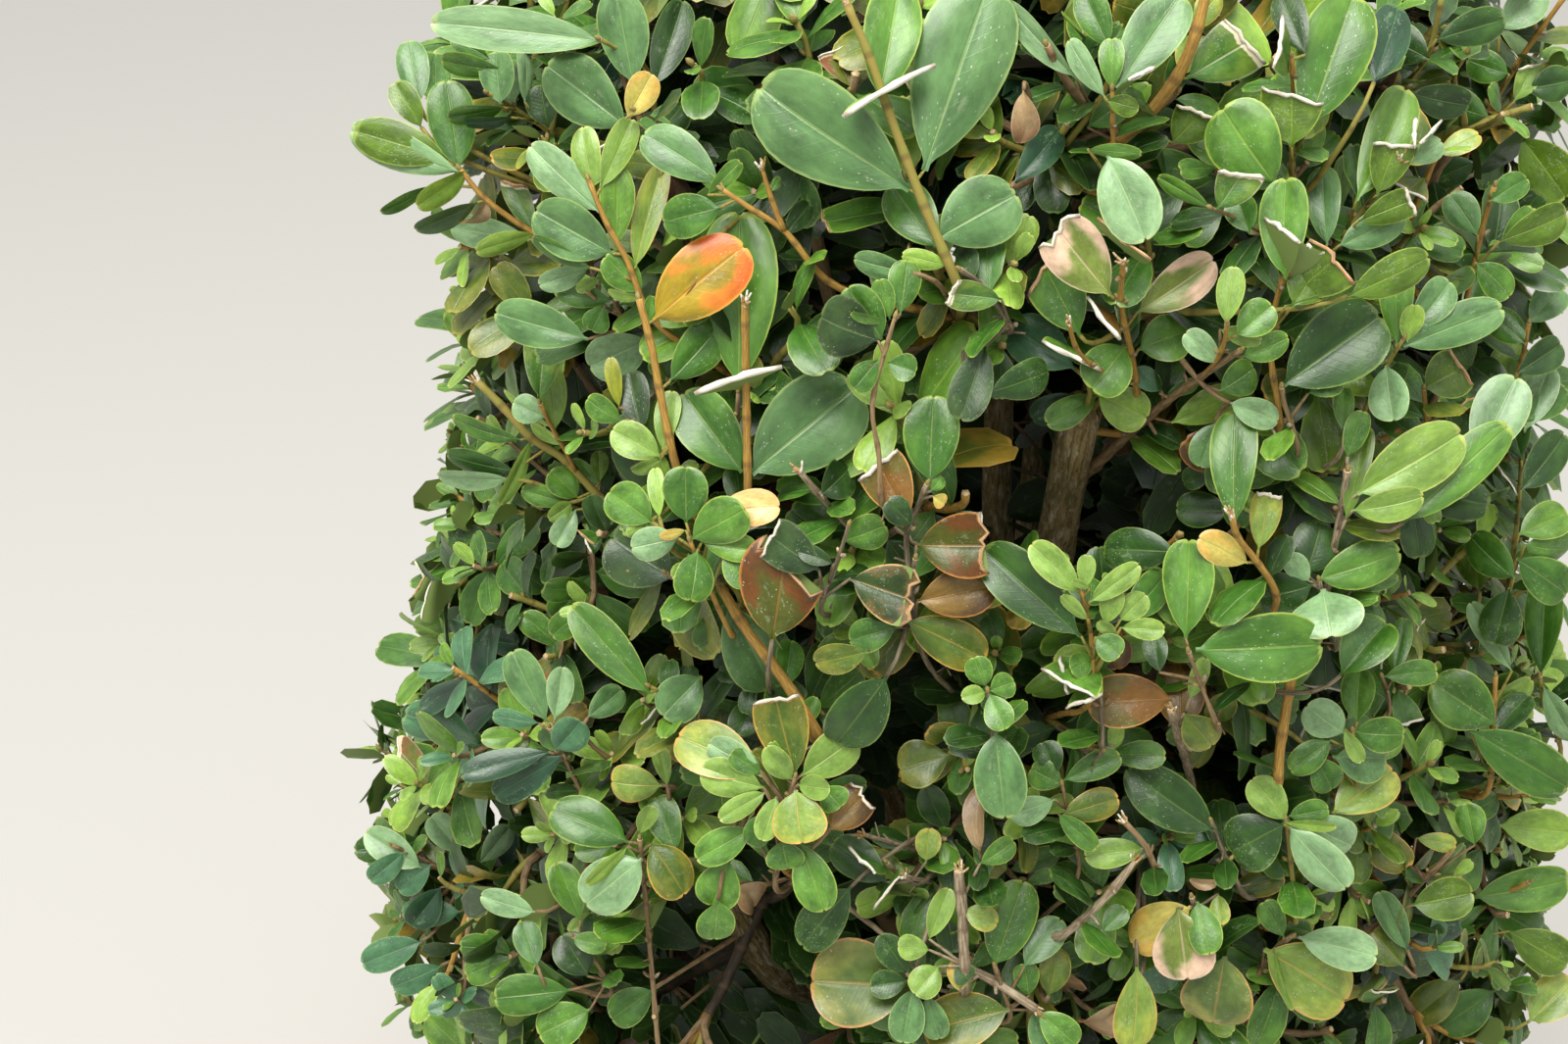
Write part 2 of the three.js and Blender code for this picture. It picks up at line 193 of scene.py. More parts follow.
def hollow_clear(d):
    """Angle from the nearest hollow's edge; negative inside one."""
    angle = np.arccos(np.clip(unit(d) @ HOLLOW_DIR.T, -1, 1)) - HOLLOW_REACH
    return angle.min(axis=1)


def floor_at(p):
    past = np.clip((np.hypot(p[:, 0], p[:, 1]) - POT_RIM - 8) / 14, 0, 1)
    return UNDERSIDE + (SKIRT - UNDERSIDE) * past


# ------------------------------------------------------------------ mesh maker
class Soup:
    """Collects vertices and faces of one piece."""

    def __init__(self):
        self.verts, self.faces, self.uvs, self.mats = [], [], [], []
        self.count = 0

    def add(self, verts, faces, uv=None, mat=0):
        faces = np.asarray(faces, np.int64)
        self.faces.append(faces + self.count)
        self.verts.append(np.asarray(verts, float).reshape(-1, 3))
        self.uvs.append(np.zeros(faces.shape + (2,)) if uv is None else np.asarray(uv, float))
        self.mats.append(np.broadcast_to(np.asarray(mat), (len(faces),)).astype(np.int32))
        self.count += len(self.verts[-1])

    def triangles(self):
        return int(sum(len(f) * (f.shape[1] - 2) for f in self.faces))

    def build(self, name, materials, uv_name="OFBake", smooth=True):
        mesh = bpy.data.meshes.new(name)
        verts = np.concatenate(self.verts) * MM
        loops = np.concatenate([f.ravel() for f in self.faces]).astype(np.int32)
        sizes = np.concatenate([np.full(len(f), f.shape[1]) for f in self.faces])
        starts = (np.cumsum(sizes) - sizes).astype(np.int32)
        mesh.vertices.add(len(verts))
        mesh.vertices.foreach_set("co", verts.astype(np.float32).ravel())
        mesh.loops.add(len(loops))
        mesh.loops.foreach_set("vertex_index", loops)
        mesh.polygons.add(len(sizes))
        mesh.polygons.foreach_set("loop_start", starts)
        for m in materials:
            mesh.materials.append(m)
        mesh.polygons.foreach_set("material_index", np.concatenate(self.mats))
        layer = mesh.uv_layers.new(name=uv_name)
        uv = np.concatenate([u.reshape(-1, 2) for u in self.uvs])
        layer.data.foreach_set("uv", uv.astype(np.float32).ravel())
        mesh.update(calc_edges=True)
        mesh.validate()
        mesh.polygons.foreach_set("use_smooth", np.full(len(mesh.polygons), smooth))
        obj = bpy.data.objects.new(name, mesh)
        bpy.context.scene.collection.objects.link(obj)
        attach(obj, "root")
        print(f"{name}: {self.triangles()} triangles")
        TOTAL.append(self.triangles())
        return obj


TOTAL = []


def grid_faces(count, rows, cols, stride=None, start=0, flip=False):
    """Quads of count grids of rows by cols points each."""
    j, i = np.meshgrid(np.arange(rows - 1), np.arange(cols - 1), indexing="ij")
    a = (j * cols + i).ravel()
    quad = np.stack([a, a + 1, a + cols + 1, a + cols], 1)
    if flip:
        quad = quad[:, ::-1]
    base = start + np.arange(count)[:, None, None] * (stride or rows * cols)
    return (quad[None] + base).reshape(-1, 4)


# ----------------------------------------------------------------------- limbs
def bezier(control, t):
    """control (n, 4, 3), t (k,) or (n, k): points and directions (n, k, 3)."""
    t = np.asarray(t, float)
    if t.ndim == 1:
        t = np.broadcast_to(t, (len(control), len(t)))
    t = t[..., None]
    a, b, c, d = (control[:, None, k] for k in range(4))
    p = a * (1 - t) ** 3 + 3 * b * t * (1 - t) ** 2 + 3 * c * t * t * (1 - t) + d * t**3
    v = 3 * (b - a) * (1 - t) ** 2 + 6 * (c - b) * t * (1 - t) + 3 * (d - c) * t * t
    return p, unit(v)


def catmull(points):
    """The same centripetal curve as the solids follow, evenly spaced by length."""
    pts = np.array(points, float)
    last = len(pts)
    dense = []
    for t in np.linspace(0, 1, 241):
        q = (last - 1) * t
        k = min(int(math.floor(q)), last - 2)
        w = q - k
        p0 = pts[k - 1] if k > 0 else 2 * pts[0] - pts[1]
        p1, p2 = pts[k], pts[k + 1]
        p3 = pts[k + 2] if k + 2 < last else 2 * pts[-1] - pts[-2]
        d0, d1, d2 = (max(np.sum((b - a) ** 2) ** 0.25, 1e-4) for a, b in ((p0, p1), (p1, p2), (p2, p3)))
        t1 = ((p1 - p0) / d0 - (p2 - p0) / (d0 + d1) + (p2 - p1) / d1) * d1
        t2 = ((p2 - p1) / d1 - (p3 - p1) / (d1 + d2) + (p3 - p2) / d2) * d1
        dense.append(p1 + t1 * w + (-3 * p1 + 3 * p2 - 2 * t1 - t2) * w * w + (2 * p1 - 2 * p2 + t1 + t2) * w**3)
    dense = np.array(dense)
    run = np.concatenate([[0], np.cumsum(np.linalg.norm(np.diff(dense, axis=0), axis=1))])
    return lambda t: np.stack([np.interp(np.asarray(t) * run[-1], run, dense[:, k]) for k in range(3)], -1), run[-1]


def carry_frames(tangent):
    """Side vectors carried along each line without spinning: (n, k, 3) twice."""
    n, k, _ = tangent.shape
    first = tangent[:, 0]
    ref = np.where(np.abs(first[:, 2:3]) > 0.8, [[1.0, 0, 0]], [[0, 0, 1.0]])
    x = unit(np.cross(first, ref))
    out_x = np.zeros_like(tangent)
    for j in range(k):
        x = unit(x - dot(x, tangent[:, j]) * tangent[:, j])
        out_x[:, j] = x
    return out_x, np.cross(tangent, out_x)


def tubes(soup, points, radii, sides, tile, along=None, mat=0, cap_tile=None, ripple=None):
    """Closed tubes. points (n, k, 3), radii (n, k), tile (n,) of the bark sheet,
    along (n, k, 2) gives the sheet's start and end for the piece after each ring."""
    n, k, _ = points.shape
    tangent = unit(np.gradient(points, axis=1))
    x, y = carry_frames(tangent)
    turn = np.arange(sides) / sides * 2 * np.pi
    r = radii[:, :, None]
    if ripple is not None:
        r = r * ripple
    ring = (
        points[:, :, None]
        + x[:, :, None] * (np.cos(turn)[None, None, :] * r)[..., None]
        + y[:, :, None] * (np.sin(turn)[None, None, :] * r)[..., None]
    )
    verts = ring.reshape(-1, 3)
    j, i = np.meshgrid(np.arange(k - 1), np.arange(sides), indexing="ij")
    j, i = j.ravel(), i.ravel()
    nxt = (i + 1) % sides
    quad = np.stack([j * sides + i, j * sides + nxt, (j + 1) * sides + nxt, (j + 1) * sides + i], 1)
    faces = (quad[None] + np.arange(n)[:, None, None] * k * sides).reshape(-1, 4)
    if along is None:
        s = np.arange(k - 1) / (k - 1)
        along = np.broadcast_to(np.stack([s, s + 1 / (k - 1)], 1)[None], (n, k - 1, 2))
    u0 = np.broadcast_to((i / sides)[None], (n, len(i)))
    u1 = np.broadcast_to(((i + 1) / sides)[None], (n, len(i)))
    v0, v1 = along[:, j, 0], along[:, j, 1]
    uv = np.stack([np.stack([u0, v0], -1), np.stack([u1, v0], -1), np.stack([u1, v1], -1), np.stack([u0, v1], -1)], 2)
    soup.add(verts, faces, tile_uv(uv, tile[:, None, None]).reshape(-1, 4, 2), mat)
    # both ends
    ends = np.arange(sides)
    base = np.arange(n)[:, None] * k * sides
    circle = np.stack([0.5 + 0.4 * np.cos(turn), 0.5 + 0.4 * np.sin(turn)], 1)
    circle = np.broadcast_to(circle[None], (n, sides, 2))
    start = ends[::-1][None] + base
    stop = ends[None] + base + (k - 1) * sides
    cap = tile if cap_tile is None else cap_tile
    soup.faces.append(start + soup.count - len(verts))
    soup.faces.append(stop + soup.count - len(verts))
    soup.uvs.append(tile_uv(circle, tile[:, None]))
    soup.uvs.append(tile_uv(circle, cap[:, None]))
    soup.mats.append(np.full(n, mat, np.int32))
    soup.mats.append(np.full(n, mat, np.int32))


TILES = 8  # the pattern sheets are 8 by 8 tiles


def tile_uv(uv, tile):
    """uv 0..1 in its own tile, with a rim left round it. tile = tint + 32 * variant."""
    tint, variant = tile % 32, tile // 32
    col, row = tint % 8, tint // 8 + 4 * variant
    return np.stack([
        (col + 0.04 + 0.92 * uv[..., 0]) / TILES,
        (row + 0.04 + 0.92 * uv[..., 1]) / TILES,
    ], -1)


# ---------------------------------------------------------------------- leaves
ROWS_FINE = np.array([0, 0.05, 0.11, 0.22, 0.38, 0.56, 0.73, 0.86, 0.945, 0.993])
COLS_FINE = np.array([-1, -0.62, -0.22, 0, 0.22, 0.62, 1.0])
ROWS_MID = np.array([0, 0.07, 0.26, 0.56, 0.85, 0.99])
COLS_MID = np.array([-1, -0.5, 0, 0.5, 1.0])
ROWS_BACK = np.array([0, 0.1, 0.38, 0.74, 0.98])
ROWS_FAR = np.array([0, 0.16, 0.46, 0.8, 0.985])
COLS_FAR = np.array([-1, 0, 1.0])


ROWS_LARGE = np.concatenate([[0, 0.04, 0.08, 0.13], np.linspace(0.2, 0.86, 8), [0.91, 0.95, 0.98, 0.996]])
COLS_LARGE = np.array([-1, -0.75, -0.45, -0.16, 0, 0.16, 0.45, 0.75, 1.0])


class Leaves:
    """Per-leaf numbers, kept as one array for each name."""

    NAMES = (
        "place", "along", "face", "length", "width", "low", "high", "fold", "dome", "bend", "twist", "sway",
        "cut", "slope", "curl", "tile", "cell", "grade", "dry", "seed", "owner", "rough", "rim",
    )

    def __init__(self, **arrays):
        count = len(arrays["length"])
        default = {
            "low": 0.68, "high": 0.5, "fold": 0.3, "dome": 0.32, "bend": 0.35, "twist": 0.0, "sway": 0.0,
            "cut": 1.0, "slope": 0.0, "curl": 0.0, "tile": 0, "cell": 0, "grade": 1, "dry": 0, "seed": 0.0, "owner": -1,
            "rough": 1.0, "rim": 1.0,
        }
        for name in self.NAMES:
            value = arrays.get(name, default.get(name))
            value = np.asarray(value, float)
            if value.ndim == 0:
                value = np.full(count, float(value))
            setattr(self, name, value)

    def __len__(self):
        return len(self.length)

    def pick(self, mask):
        return Leaves(**{n: getattr(self, n)[mask] for n in self.NAMES})

    @staticmethod
    def join(parts):
        parts = [p for p in parts if len(p)]
        return Leaves(**{n: np.concatenate([getattr(p, n) for p in parts]) for n in Leaves.NAMES})


def leaf_shape(a, rows, cols):
    """Points (n, rows, cols, 3) of the upper side."""
    n = len(a)
    b = lambda x: x[:, None, None]
    v, u = rows[None, :, None], cols[None, None, :]
    jag = b(a.rough) * (0.012 * np.sin(b(a.seed) * 7 + u * 5.0) + 0.012 * np.sin(b(a.seed) * 3 + u * 13.0))
    sheared = b(a.cut) < 0.999
    reach = np.where(sheared, np.clip(b(a.cut) + b(a.slope) * u + jag, 0.12, 0.99), 1.0)
    t = v * reach
    s = np.clip((t - 0.05) / 0.95, 0, 1)
    low, high = b(a.low), b(a.high)
    peak = low / (low + high)
    tallest = peak**low * (1 - peak) ** high
    f = np.maximum(s**low * (1 - s) ** high / tallest, np.where(t < 0.2, 0.075, 0.0))
    half = b(a.width) / 2 * f
    au = np.abs(u)
    length = b(a.length)
    notch = np.where((v > 0.98) & (au < 0.3) & ~sheared, -0.022, 0.0)
    bend = b(a.bend)
    along = length * (t + notch) * (1 - bend**2 * t**2 / 6)
    lift = half * (b(a.fold) * au - b(a.dome) * au**2.2) - length * bend * t**2 / 2
    lift = lift + 0.035 * b(a.width) * au * np.sin(b(a.seed) * 5 + 7.5 * t)
    lift = lift + np.where(sheared, b(a.curl) * np.clip((v - 0.8) / 0.19, 0, 1) ** 1.6, 0.0)
    across = half * u + length * b(a.sway) * t**2
    spin = b(a.twist) * (t - 0.2)
    d, nrm = a.along, a.face
    x = np.cross(d, nrm)
    cs, sn = np.cos(spin), np.sin(spin)
    right = across * cs - lift * sn
    up = across * sn + lift * cs
    return (
        a.place[:, None, None]
        + d[:, None, None] * along[..., None]
        + x[:, None, None] * right[..., None]
        + nrm[:, None, None] * up[..., None]
    )


def add_leaves(soup, a, rows, cols, under):
    n = len(a)
    if not n:
        return
    pts = leaf_shape(a, rows, cols)
    J, I = len(rows), len(cols)
    faces = grid_faces(n, J, I)
    u = np.broadcast_to(((cols + 1) / 2)[None, :], (J, I))
    v = np.broadcast_to(rows[:, None], (J, I))
    flat = np.stack([u, v], -1).reshape(-1, 2)
    quad = grid_faces(1, J, I)
    uv = np.broadcast_to(flat[quad][None], (n, len(quad), 4, 2))
    tile = a.tile.astype(int)
    soup.add(pts, faces, tile_uv(uv, tile[:, None, None]).reshape(-1, 4, 2), 0)
    if under:
        mid = I // 2
        low = pts[:, :, [0, mid, I - 1]].copy()
        J = len(rows)
        thick = np.full(J, 0.26)
        thick[0] = 0.3
        thick[-1] = 0.06
        low[:, :, 1] -= a.face[:, None] * thick[None, :, None]
        quad = grid_faces(n, J, 3, flip=True)
        soup.add(low, quad, None, np.repeat(np.where(a.dry > 0.5, 2, 1), (J - 1) * 2))
        # the dried, rolled end of a shorn leaf
        m = np.nonzero(a.cut < 0.9)[0]
        if len(m):
            end = pts[m, -1]
            near = J > 8
            count = 9 if near else 5
            fine = np.linspace(0, I - 1, count)
            k = np.minimum(fine.astype(int), I - 2)
            w = (fine - k)[None, :, None]
            roll = end[:, k] * (1 - w) + end[:, k + 1] * w
            thick = (a.rim[m] * (0.26 + 0.14 * np.modf(a.seed[m] * 3.7)[0]))[:, None] * (
                np.sin(np.pi * np.linspace(0.12, 0.88, count))[None] ** 0.3
                * (1 + 0.2 * np.sin(a.seed[m][:, None] * 9 + fine[None] * 2.1)))
            pale = np.where((np.modf(a.seed[m] * 5.3)[0] < 0.75) | (a.rim[m] > 1.9), 8, 9)
            tubes(soup, roll + a.face[m][:, None] * 0.1, thick, 5 if near else 4, pale + 32 * (m % 2), None, 3)


# ------------------------------------------------------------- spread of tips
def spread_tips(rng):
    """Shoot tips over the outline, no two nearer than their own room."""
    count = 26000
    d = unit(rng.normal(size=(count, 3)))
    p, n = surface(d)
    area = np.sum((p - HEART) ** 2, 1) / np.maximum(0.2, dot(n, d)[:, 0])
    keep = (rng.random(count) < area / np.percentile(area, 97)) & (hollow_clear(d) > 0)
    room = 15.5 + 8.5 * rng.random(count)
    low = floor_at(p)
    under = p[:, 2] < low + 6
    keep &= ~under | (rng.random(count) < 0.5)
    p[:, 2] = np.where(under, low + 6 + 0.08 * (p[:, 2] - low), p[:, 2])
    reach = np.hypot(p[:, 0], p[:, 1])
    keep &= ~(under & (reach < 70))
    size = 26.0
    taken, chosen = {}, []
    for k in np.nonzero(keep)[0]:
        q = p[k]
        key = tuple((q // size).astype(int))
        ok = True
        for a in (-1, 0, 1):
            for b in (-1, 0, 1):
                for c in (-1, 0, 1):
                    for m in taken.get((key[0] + a, key[1] + b, key[2] + c), ()):
                        if np.dot(p[m] - q, p[m] - q) < (0.5 * (room[k] + room[m])) ** 2:
                            ok = False
                            break
                    if not ok:
                        break
                if not ok:
                    break
            if not ok:
                break
        if ok:
            taken.setdefault(key, []).append(k)
            chosen.append(k)
    chosen = np.array(chosen)
    return p[chosen], n[chosen], d[chosen], room[chosen], under[chosen]


def groups(points, size):
    """Splits points into compact groups of about size, by k-means from far points."""
    count = max(1, int(round(len(points) / size)))
    centre = [points.mean(0)]
    first = int(np.argmax(np.sum((points - centre[0]) ** 2, 1)))
    seeds = [points[first]]
    while len(seeds) < count:
        near = np.min([np.sum((points - s) ** 2, 1) for s in seeds], axis=0)
        seeds.append(points[int(np.argmax(near))])
    seeds = np.array(seeds)
    for _ in range(8):
        label = np.argmin(((points[:, None] - seeds[None]) ** 2).sum(2), axis=1)
        for k in range(count):
            if np.any(label == k):
                seeds[k] = points[label == k].mean(0)
    return label, seeds


rng = np.random.default_rng(417)
TIP, TIP_OUT, TIP_DIR, TIP_ROOM, TIP_UNDER = spread_tips(rng)
TIP_CELL = cell_of(TIP_DIR)
count = len(TIP)
# clipped, then grown on a little: the tips lie just inside the outline
TIP = TIP - TIP_OUT * (7.0 + 5.0 * rng.random((count, 1)) - 9.0 * (rng.random((count, 1)) > 0.9))
side = np.degrees(np.arctan2(TIP[:, 0], -TIP[:, 1]))
grown = 9 * np.exp(-((side - 88) / 32) ** 2 - ((TIP[:, 2] - 400) / 120) ** 2)
grown = grown + 6 * np.exp(-((side + 85) / 30) ** 2 - ((TIP[:, 2] - 285) / 60) ** 2)
TIP = TIP + TIP_OUT * grown[:, None]
print("shoots", count)

SUB = {"from": [], "to": [], "r": []}  # sub-boughs
TWIG = {"control": [], "r": [], "node": []}
SHOOT_BASE, SHOOT_LEAD = np.zeros((count, 3)), np.zeros((count, 3))
sub_control, twig_control = [], []
BOUGH_END = HEART + CELL_DIR * (crown_radius(CELL_DIR) * (MASS_INNER - 0.035))[:, None]

for c in range(len(CELLS)):
    mine = np.nonzero(TIP_CELL == c)[0]
    label, _ = groups(TIP[mine], 13)
    end = BOUGH_END[c]
    lead = unit(CELL_DIR[c] + [0, 0, 0.35])
    for g in range(label.max() + 1):
        part = mine[label == g]
        if not len(part):
            continue
        d = unit(TIP_DIR[part].mean(0))
        whole = crown_radius(d)[0]
        node = HEART + d * whole * 0.71 + rng.normal(size=3) * 3
        node[2] = max(node[2], floor_at(node[None])[0] + 14)
        span = np.linalg.norm(node - end)
        sub_control.append([end, end + lead * span * 0.35, node - unit(d + [0, 0, 0.3]) * span * 0.3, node])
        sub_lead = unit(d + [0, 0, 0.25])
        small, _ = groups(TIP[part], 3.6)
        for h in range(small.max() + 1):
            few = part[small == h]
            if not len(few):
                continue
            d2 = unit(TIP_DIR[few].mean(0))
            whole2 = crown_radius(d2)[0]
            spot = HEART + d2 * (whole2 - 27 - 7 * rng.random()) + rng.normal(size=3) * 2.5
            spot[2] = max(spot[2], floor_at(spot[None])[0] + 10)
            span2 = np.linalg.norm(spot - node)
            twig_control.append([
                node, node + sub_lead * span2 * 0.4 + rng.normal(size=3) * 1.5,
                spot - unit(d2 + [0, 0, 0.35]) * span2 * 0.3, spot,
            ])
            SHOOT_BASE[few] = spot
            SHOOT_LEAD[few] = unit(d2 + [0, 0, 0.3])
sub_control, twig_control = np.array(sub_control), np.array(twig_control)

# ---------------------------------------------------------------------- shoots
rng = np.random.default_rng(981)
up = np.array([0.0, 0.0, 1.0])
vigour = np.clip(0.7 + 0.42 * (TIP_ROOM - 15.5) / 8.5 + rng.normal(size=count) * 0.12, 0.58, 1.4)
shear = rng.random(count) < np.where((TIP_DIR[:, 2] > 0.25), 0.3, 0.16)
aim = unit(TIP_OUT * 0.75 + up * np.where(TIP_UNDER, 0.15, 0.62)[:, None] + rng.normal(size=(count, 3)) * 0.24)
aim = np.where(TIP_UNDER[:, None], unit(aim * [1, 1, 0.2] + unit(TIP * [1, 1, 0]) * 0.7), aim)
far = np.linalg.norm(TIP - SHOOT_BASE, axis=1, keepdims=True)
shoot_control = np.stack([
    SHOOT_BASE, SHOOT_BASE + SHOOT_LEAD * far * 0.38, TIP - aim * far * 0.42, TIP,
], 1)

# how old each spray looks: 0 dark, 1 middle, 2 light, 3 bluish, 4 olive
px, py, pdepth = to_pixel(TIP)
left_low = np.clip((700 - px) / 500, 0, 1) * np.clip((py - 350) / 400, 0, 1)
right_low = np.clip((px - 850) / 300, 0, 1) * np.clip((py - 550) / 300, 0, 1)
chance = np.stack([
    np.full(count, 0.25), np.full(count, 0.40), np.full(count, 0.15),
    0.02 + 0.3 * left_low, np.full(count, 0.09), 0.05 + 0.16 * right_low,
], 1)
chance /= chance.sum(1, keepdims=True)
pick = rng.random((count, 1))
SPRAY = (pick > np.cumsum(chance, 1)).sum(1)

# tint of a leaf by its spray and its place from the tip
TINTS = np.array([
    [6, 3, 2, 1, 1, 0, 0, 0, 0, 0, 0, 0, 0],
    [7, 6, 3, 2, 2, 1, 1, 0, 0, 0, 0, 0, 0],
    [8, 7, 7, 6, 6, 3, 2, 1, 1, 0, 0, 0, 0],
    [6, 4, 4, 4, 5, 5, 0, 0, 0, 0, 0, 0, 0],
    [7, 7, 6, 9, 9, 9, 1, 10, 0, 0, 0, 0, 0],
    [7, 24, 31, 20, 20, 9, 25, 10, 13, 0, 0, 0, 0],
])
SIZES = np.array([0.42, 0.62, 0.83, 0.97, 1.0, 1.0, 0.96, 0.92, 0.88, 0.84, 0.8, 0.78, 0.75])
OPEN = np.radians([34, 46, 56, 62, 66, 70, 74, 78, 80, 82, 82, 84, 84])
STEPS = np.array([0.5, 1.9, 2.6, 3.6, 4.8, 5.4, 5.8, 6.0, 6.2, 6.4, 6.6, 6.8, 7.0])


def facing_camera(p, out, slack=0.0):
    """True where a point of the outline can be seen in the photographed view."""
    x, y, _ = to_pixel(p)
    toward = unit(CAM_PLACE - p)
    return (x > -60) & (x < 1660) & (y > -70) & (y < 1135) & ((toward * out).sum(1) > slack)


def shoot_leaves(control, tip_out, size, sheared, spray, cell, seen, rng, base_length=20.0):
    """Opposite pairs along each shoot, from the tip down."""
    n = len(control)
    t = np.linspace(0, 1, 25)
    pts, _ = bezier(control, t)
    step = np.linalg.norm(np.diff(pts, axis=1), axis=2)
    run = np.concatenate([np.zeros((n, 1)), np.cumsum(step, 1)], 1)
    whole = run[:, -1]
    parts, nodes = [], []
    phase = rng.random(n) * np.pi
    s = np.zeros(n)
    for k in range(len(SIZES)):
        s = s + STEPS[k] * (0.55 + 0.5 * size) * (0.85 + 0.3 * rng.random(n))
        skip = sheared & (k < 2)
        live = (s < whole * 0.97) & ~skip
        if not live.any():
            continue
        at = np.array([np.interp(whole[i] - s[i], run[i], t) for i in range(n)])
        p, tan = bezier(control, at[:, None])
        p, tan = p[:, 0], tan[:, 0]
        ref = unit(np.cross(tan, np.where(np.abs(tan[:, 2:3]) > 0.85, [[1.0, 0, 0]], [[0, 0, 1.0]])))
        other = np.cross(tan, ref)
        angle = phase + k * (np.pi / 2) + rng.normal(size=n) * 0.12
        side = ref * np.cos(angle)[:, None] + other * np.sin(angle)[:, None]
        nodes.append(np.where(live, at, -1))
        for sign in (1, -1):
            here = live & (rng.random(n) > (0.02 if k < 4 else 0.1 + 0.035 * (k - 4)))
            m = np.nonzero(here)[0]
            if not len(m):
                continue
            spread = OPEN[k] + rng.normal(size=len(m)) * 0.17
            # leaves of a shoot that lies over turn their faces to the light
            d = unit(tan[m] * np.cos(spread)[:, None] + side[m] * sign * np.sin(spread)[:, None])
            light = unit(tip_out[m] * 0.55 + up * 0.75 + rng.normal(size=(len(m), 3)) * 0.14)
            d = unit(d - 0.16 * light * (dot(d, light)) + [0, 0, -0.03 * min(k, 5)])
            face = unit(tan[m] - dot(tan[m], d) * d)
            light = light - dot(light, d) * d
            face = unit(face + (0.55 + 0.08 * min(k, 5)) * light)
            face = unit(face - dot(face, d) * d)
            length = base_length * SIZES[k] * size[m] * (0.82 + 0.36 * rng.random(len(m)))
            length = np.where(sheared[m] & (k < 5), length * 1.08, length)
            aspect = 1.55 + 0.55 * rng.random(len(m)) + (0.15 if k < 2 else 0)
            r = rng.random(len(m))
            tint = TINTS[spray[m], np.minimum(k + (rng.random(len(m)) < 0.3) - (rng.random(len(m)) < 0.25), 12).clip(0)]
            cut = np.ones(len(m))
            sheared_leaf = (sheared[m] & (k < 5) & (r < 0.34)) | ((k > 1) & (k < 5) & (r > 0.975))
            cut = np.where(sheared_leaf, 0.45 + 0.4 * rng.random(len(m)), cut)
            tint = np.where(sheared_leaf & (rng.random(len(m)) < 0.3), np.where(rng.random(len(m)) < 0.6, 14, 15), tint)
            r2 = rng.random(len(m))
            odd = (k >= 3) & ~sheared_leaf
            tint = np.where(odd & (r2 < 0.035), 10, tint)
            tint = np.where(odd & (r2 > 0.991), 11, tint)
            tint = np.where(odd & (r2 > 0.994), 12, tint)
            root = p[m] + side[m] * sign * 0.5
            deep = 1 if k < 6 else 2
            grade = np.where(seen[m], 0 if k < 5 else deep, 3 if k < 6 else 2)
            parts.append(Leaves(
                place=root, along=d, face=face, length=length, width=length / aspect,
                low=0.58 + 0.28 * rng.random(len(m)), high=0.38 + 0.14 * rng.random(len(m)),
                fold=0.14 + 0.32 * rng.random(len(m)), dome=0.12 + 0.26 * rng.random(len(m)),
                bend=0.1 + 0.5 * rng.random(len(m)) + 0.03 * k, twist=rng.normal(size=len(m)) * 0.25,
                sway=rng.normal(size=len(m)) * 0.05, cut=cut, slope=rng.normal(size=len(m)) * 0.14,
                curl=np.where(sheared_leaf, 0.3 + 1.1 * rng.random(len(m)), 0), tile=tint + 32 * rng.integers(0, 2, len(m)),
                cell=cell[m], grade=grade, dry=(tint == 12) * 1.0, seed=rng.random(len(m)) * 6.28, owner=m,
            ))
    return Leaves.join(parts), np.array(nodes).T


SEEN = facing_camera(TIP, TIP_OUT, -0.12)
shoot_foliage, shoot_nodes = shoot_leaves(
    shoot_control, TIP_OUT, vigour, shear, SPRAY, TIP_CELL, SEEN, rng)

# ------------------------------------------- sprays seen best in the photograph
def from_pixel(x, y, depth):
    """The place at a pixel of the photographed frame and a distance along the view."""
    x, y, depth = np.asarray(x, float), np.asarray(y, float), np.asarray(depth, float)
    return (
        CAM_PLACE
        + VIEW_FORWARD * depth[..., None]
        + VIEW_RIGHT * ((x - 800) / FOCAL_PX * depth)[..., None]
        + VIEW_UP * ((532.5 - y) / FOCAL_PX * depth)[..., None]
    )


def skin_depth(x, y):
    """Distance along the view at which a pixel meets the crown's outline, or the nearest that does."""
    for slide in range(0, 40):
        at = x + np.sign(980 - x) * 12 * slide
        depth = np.arange(380.0, 760.0, 1.5)
        p = from_pixel(np.full(len(depth), float(at)), np.full(len(depth), float(y)), depth)
        bearing = np.degrees(np.arctan2(p[:, 0], -p[:, 1]))
        inside = np.hypot(p[:, 0], p[:, 1]) < outline(bearing, p[:, 2])
        if inside.any():
            return depth[int(np.argmax(inside))]
    return 480.0


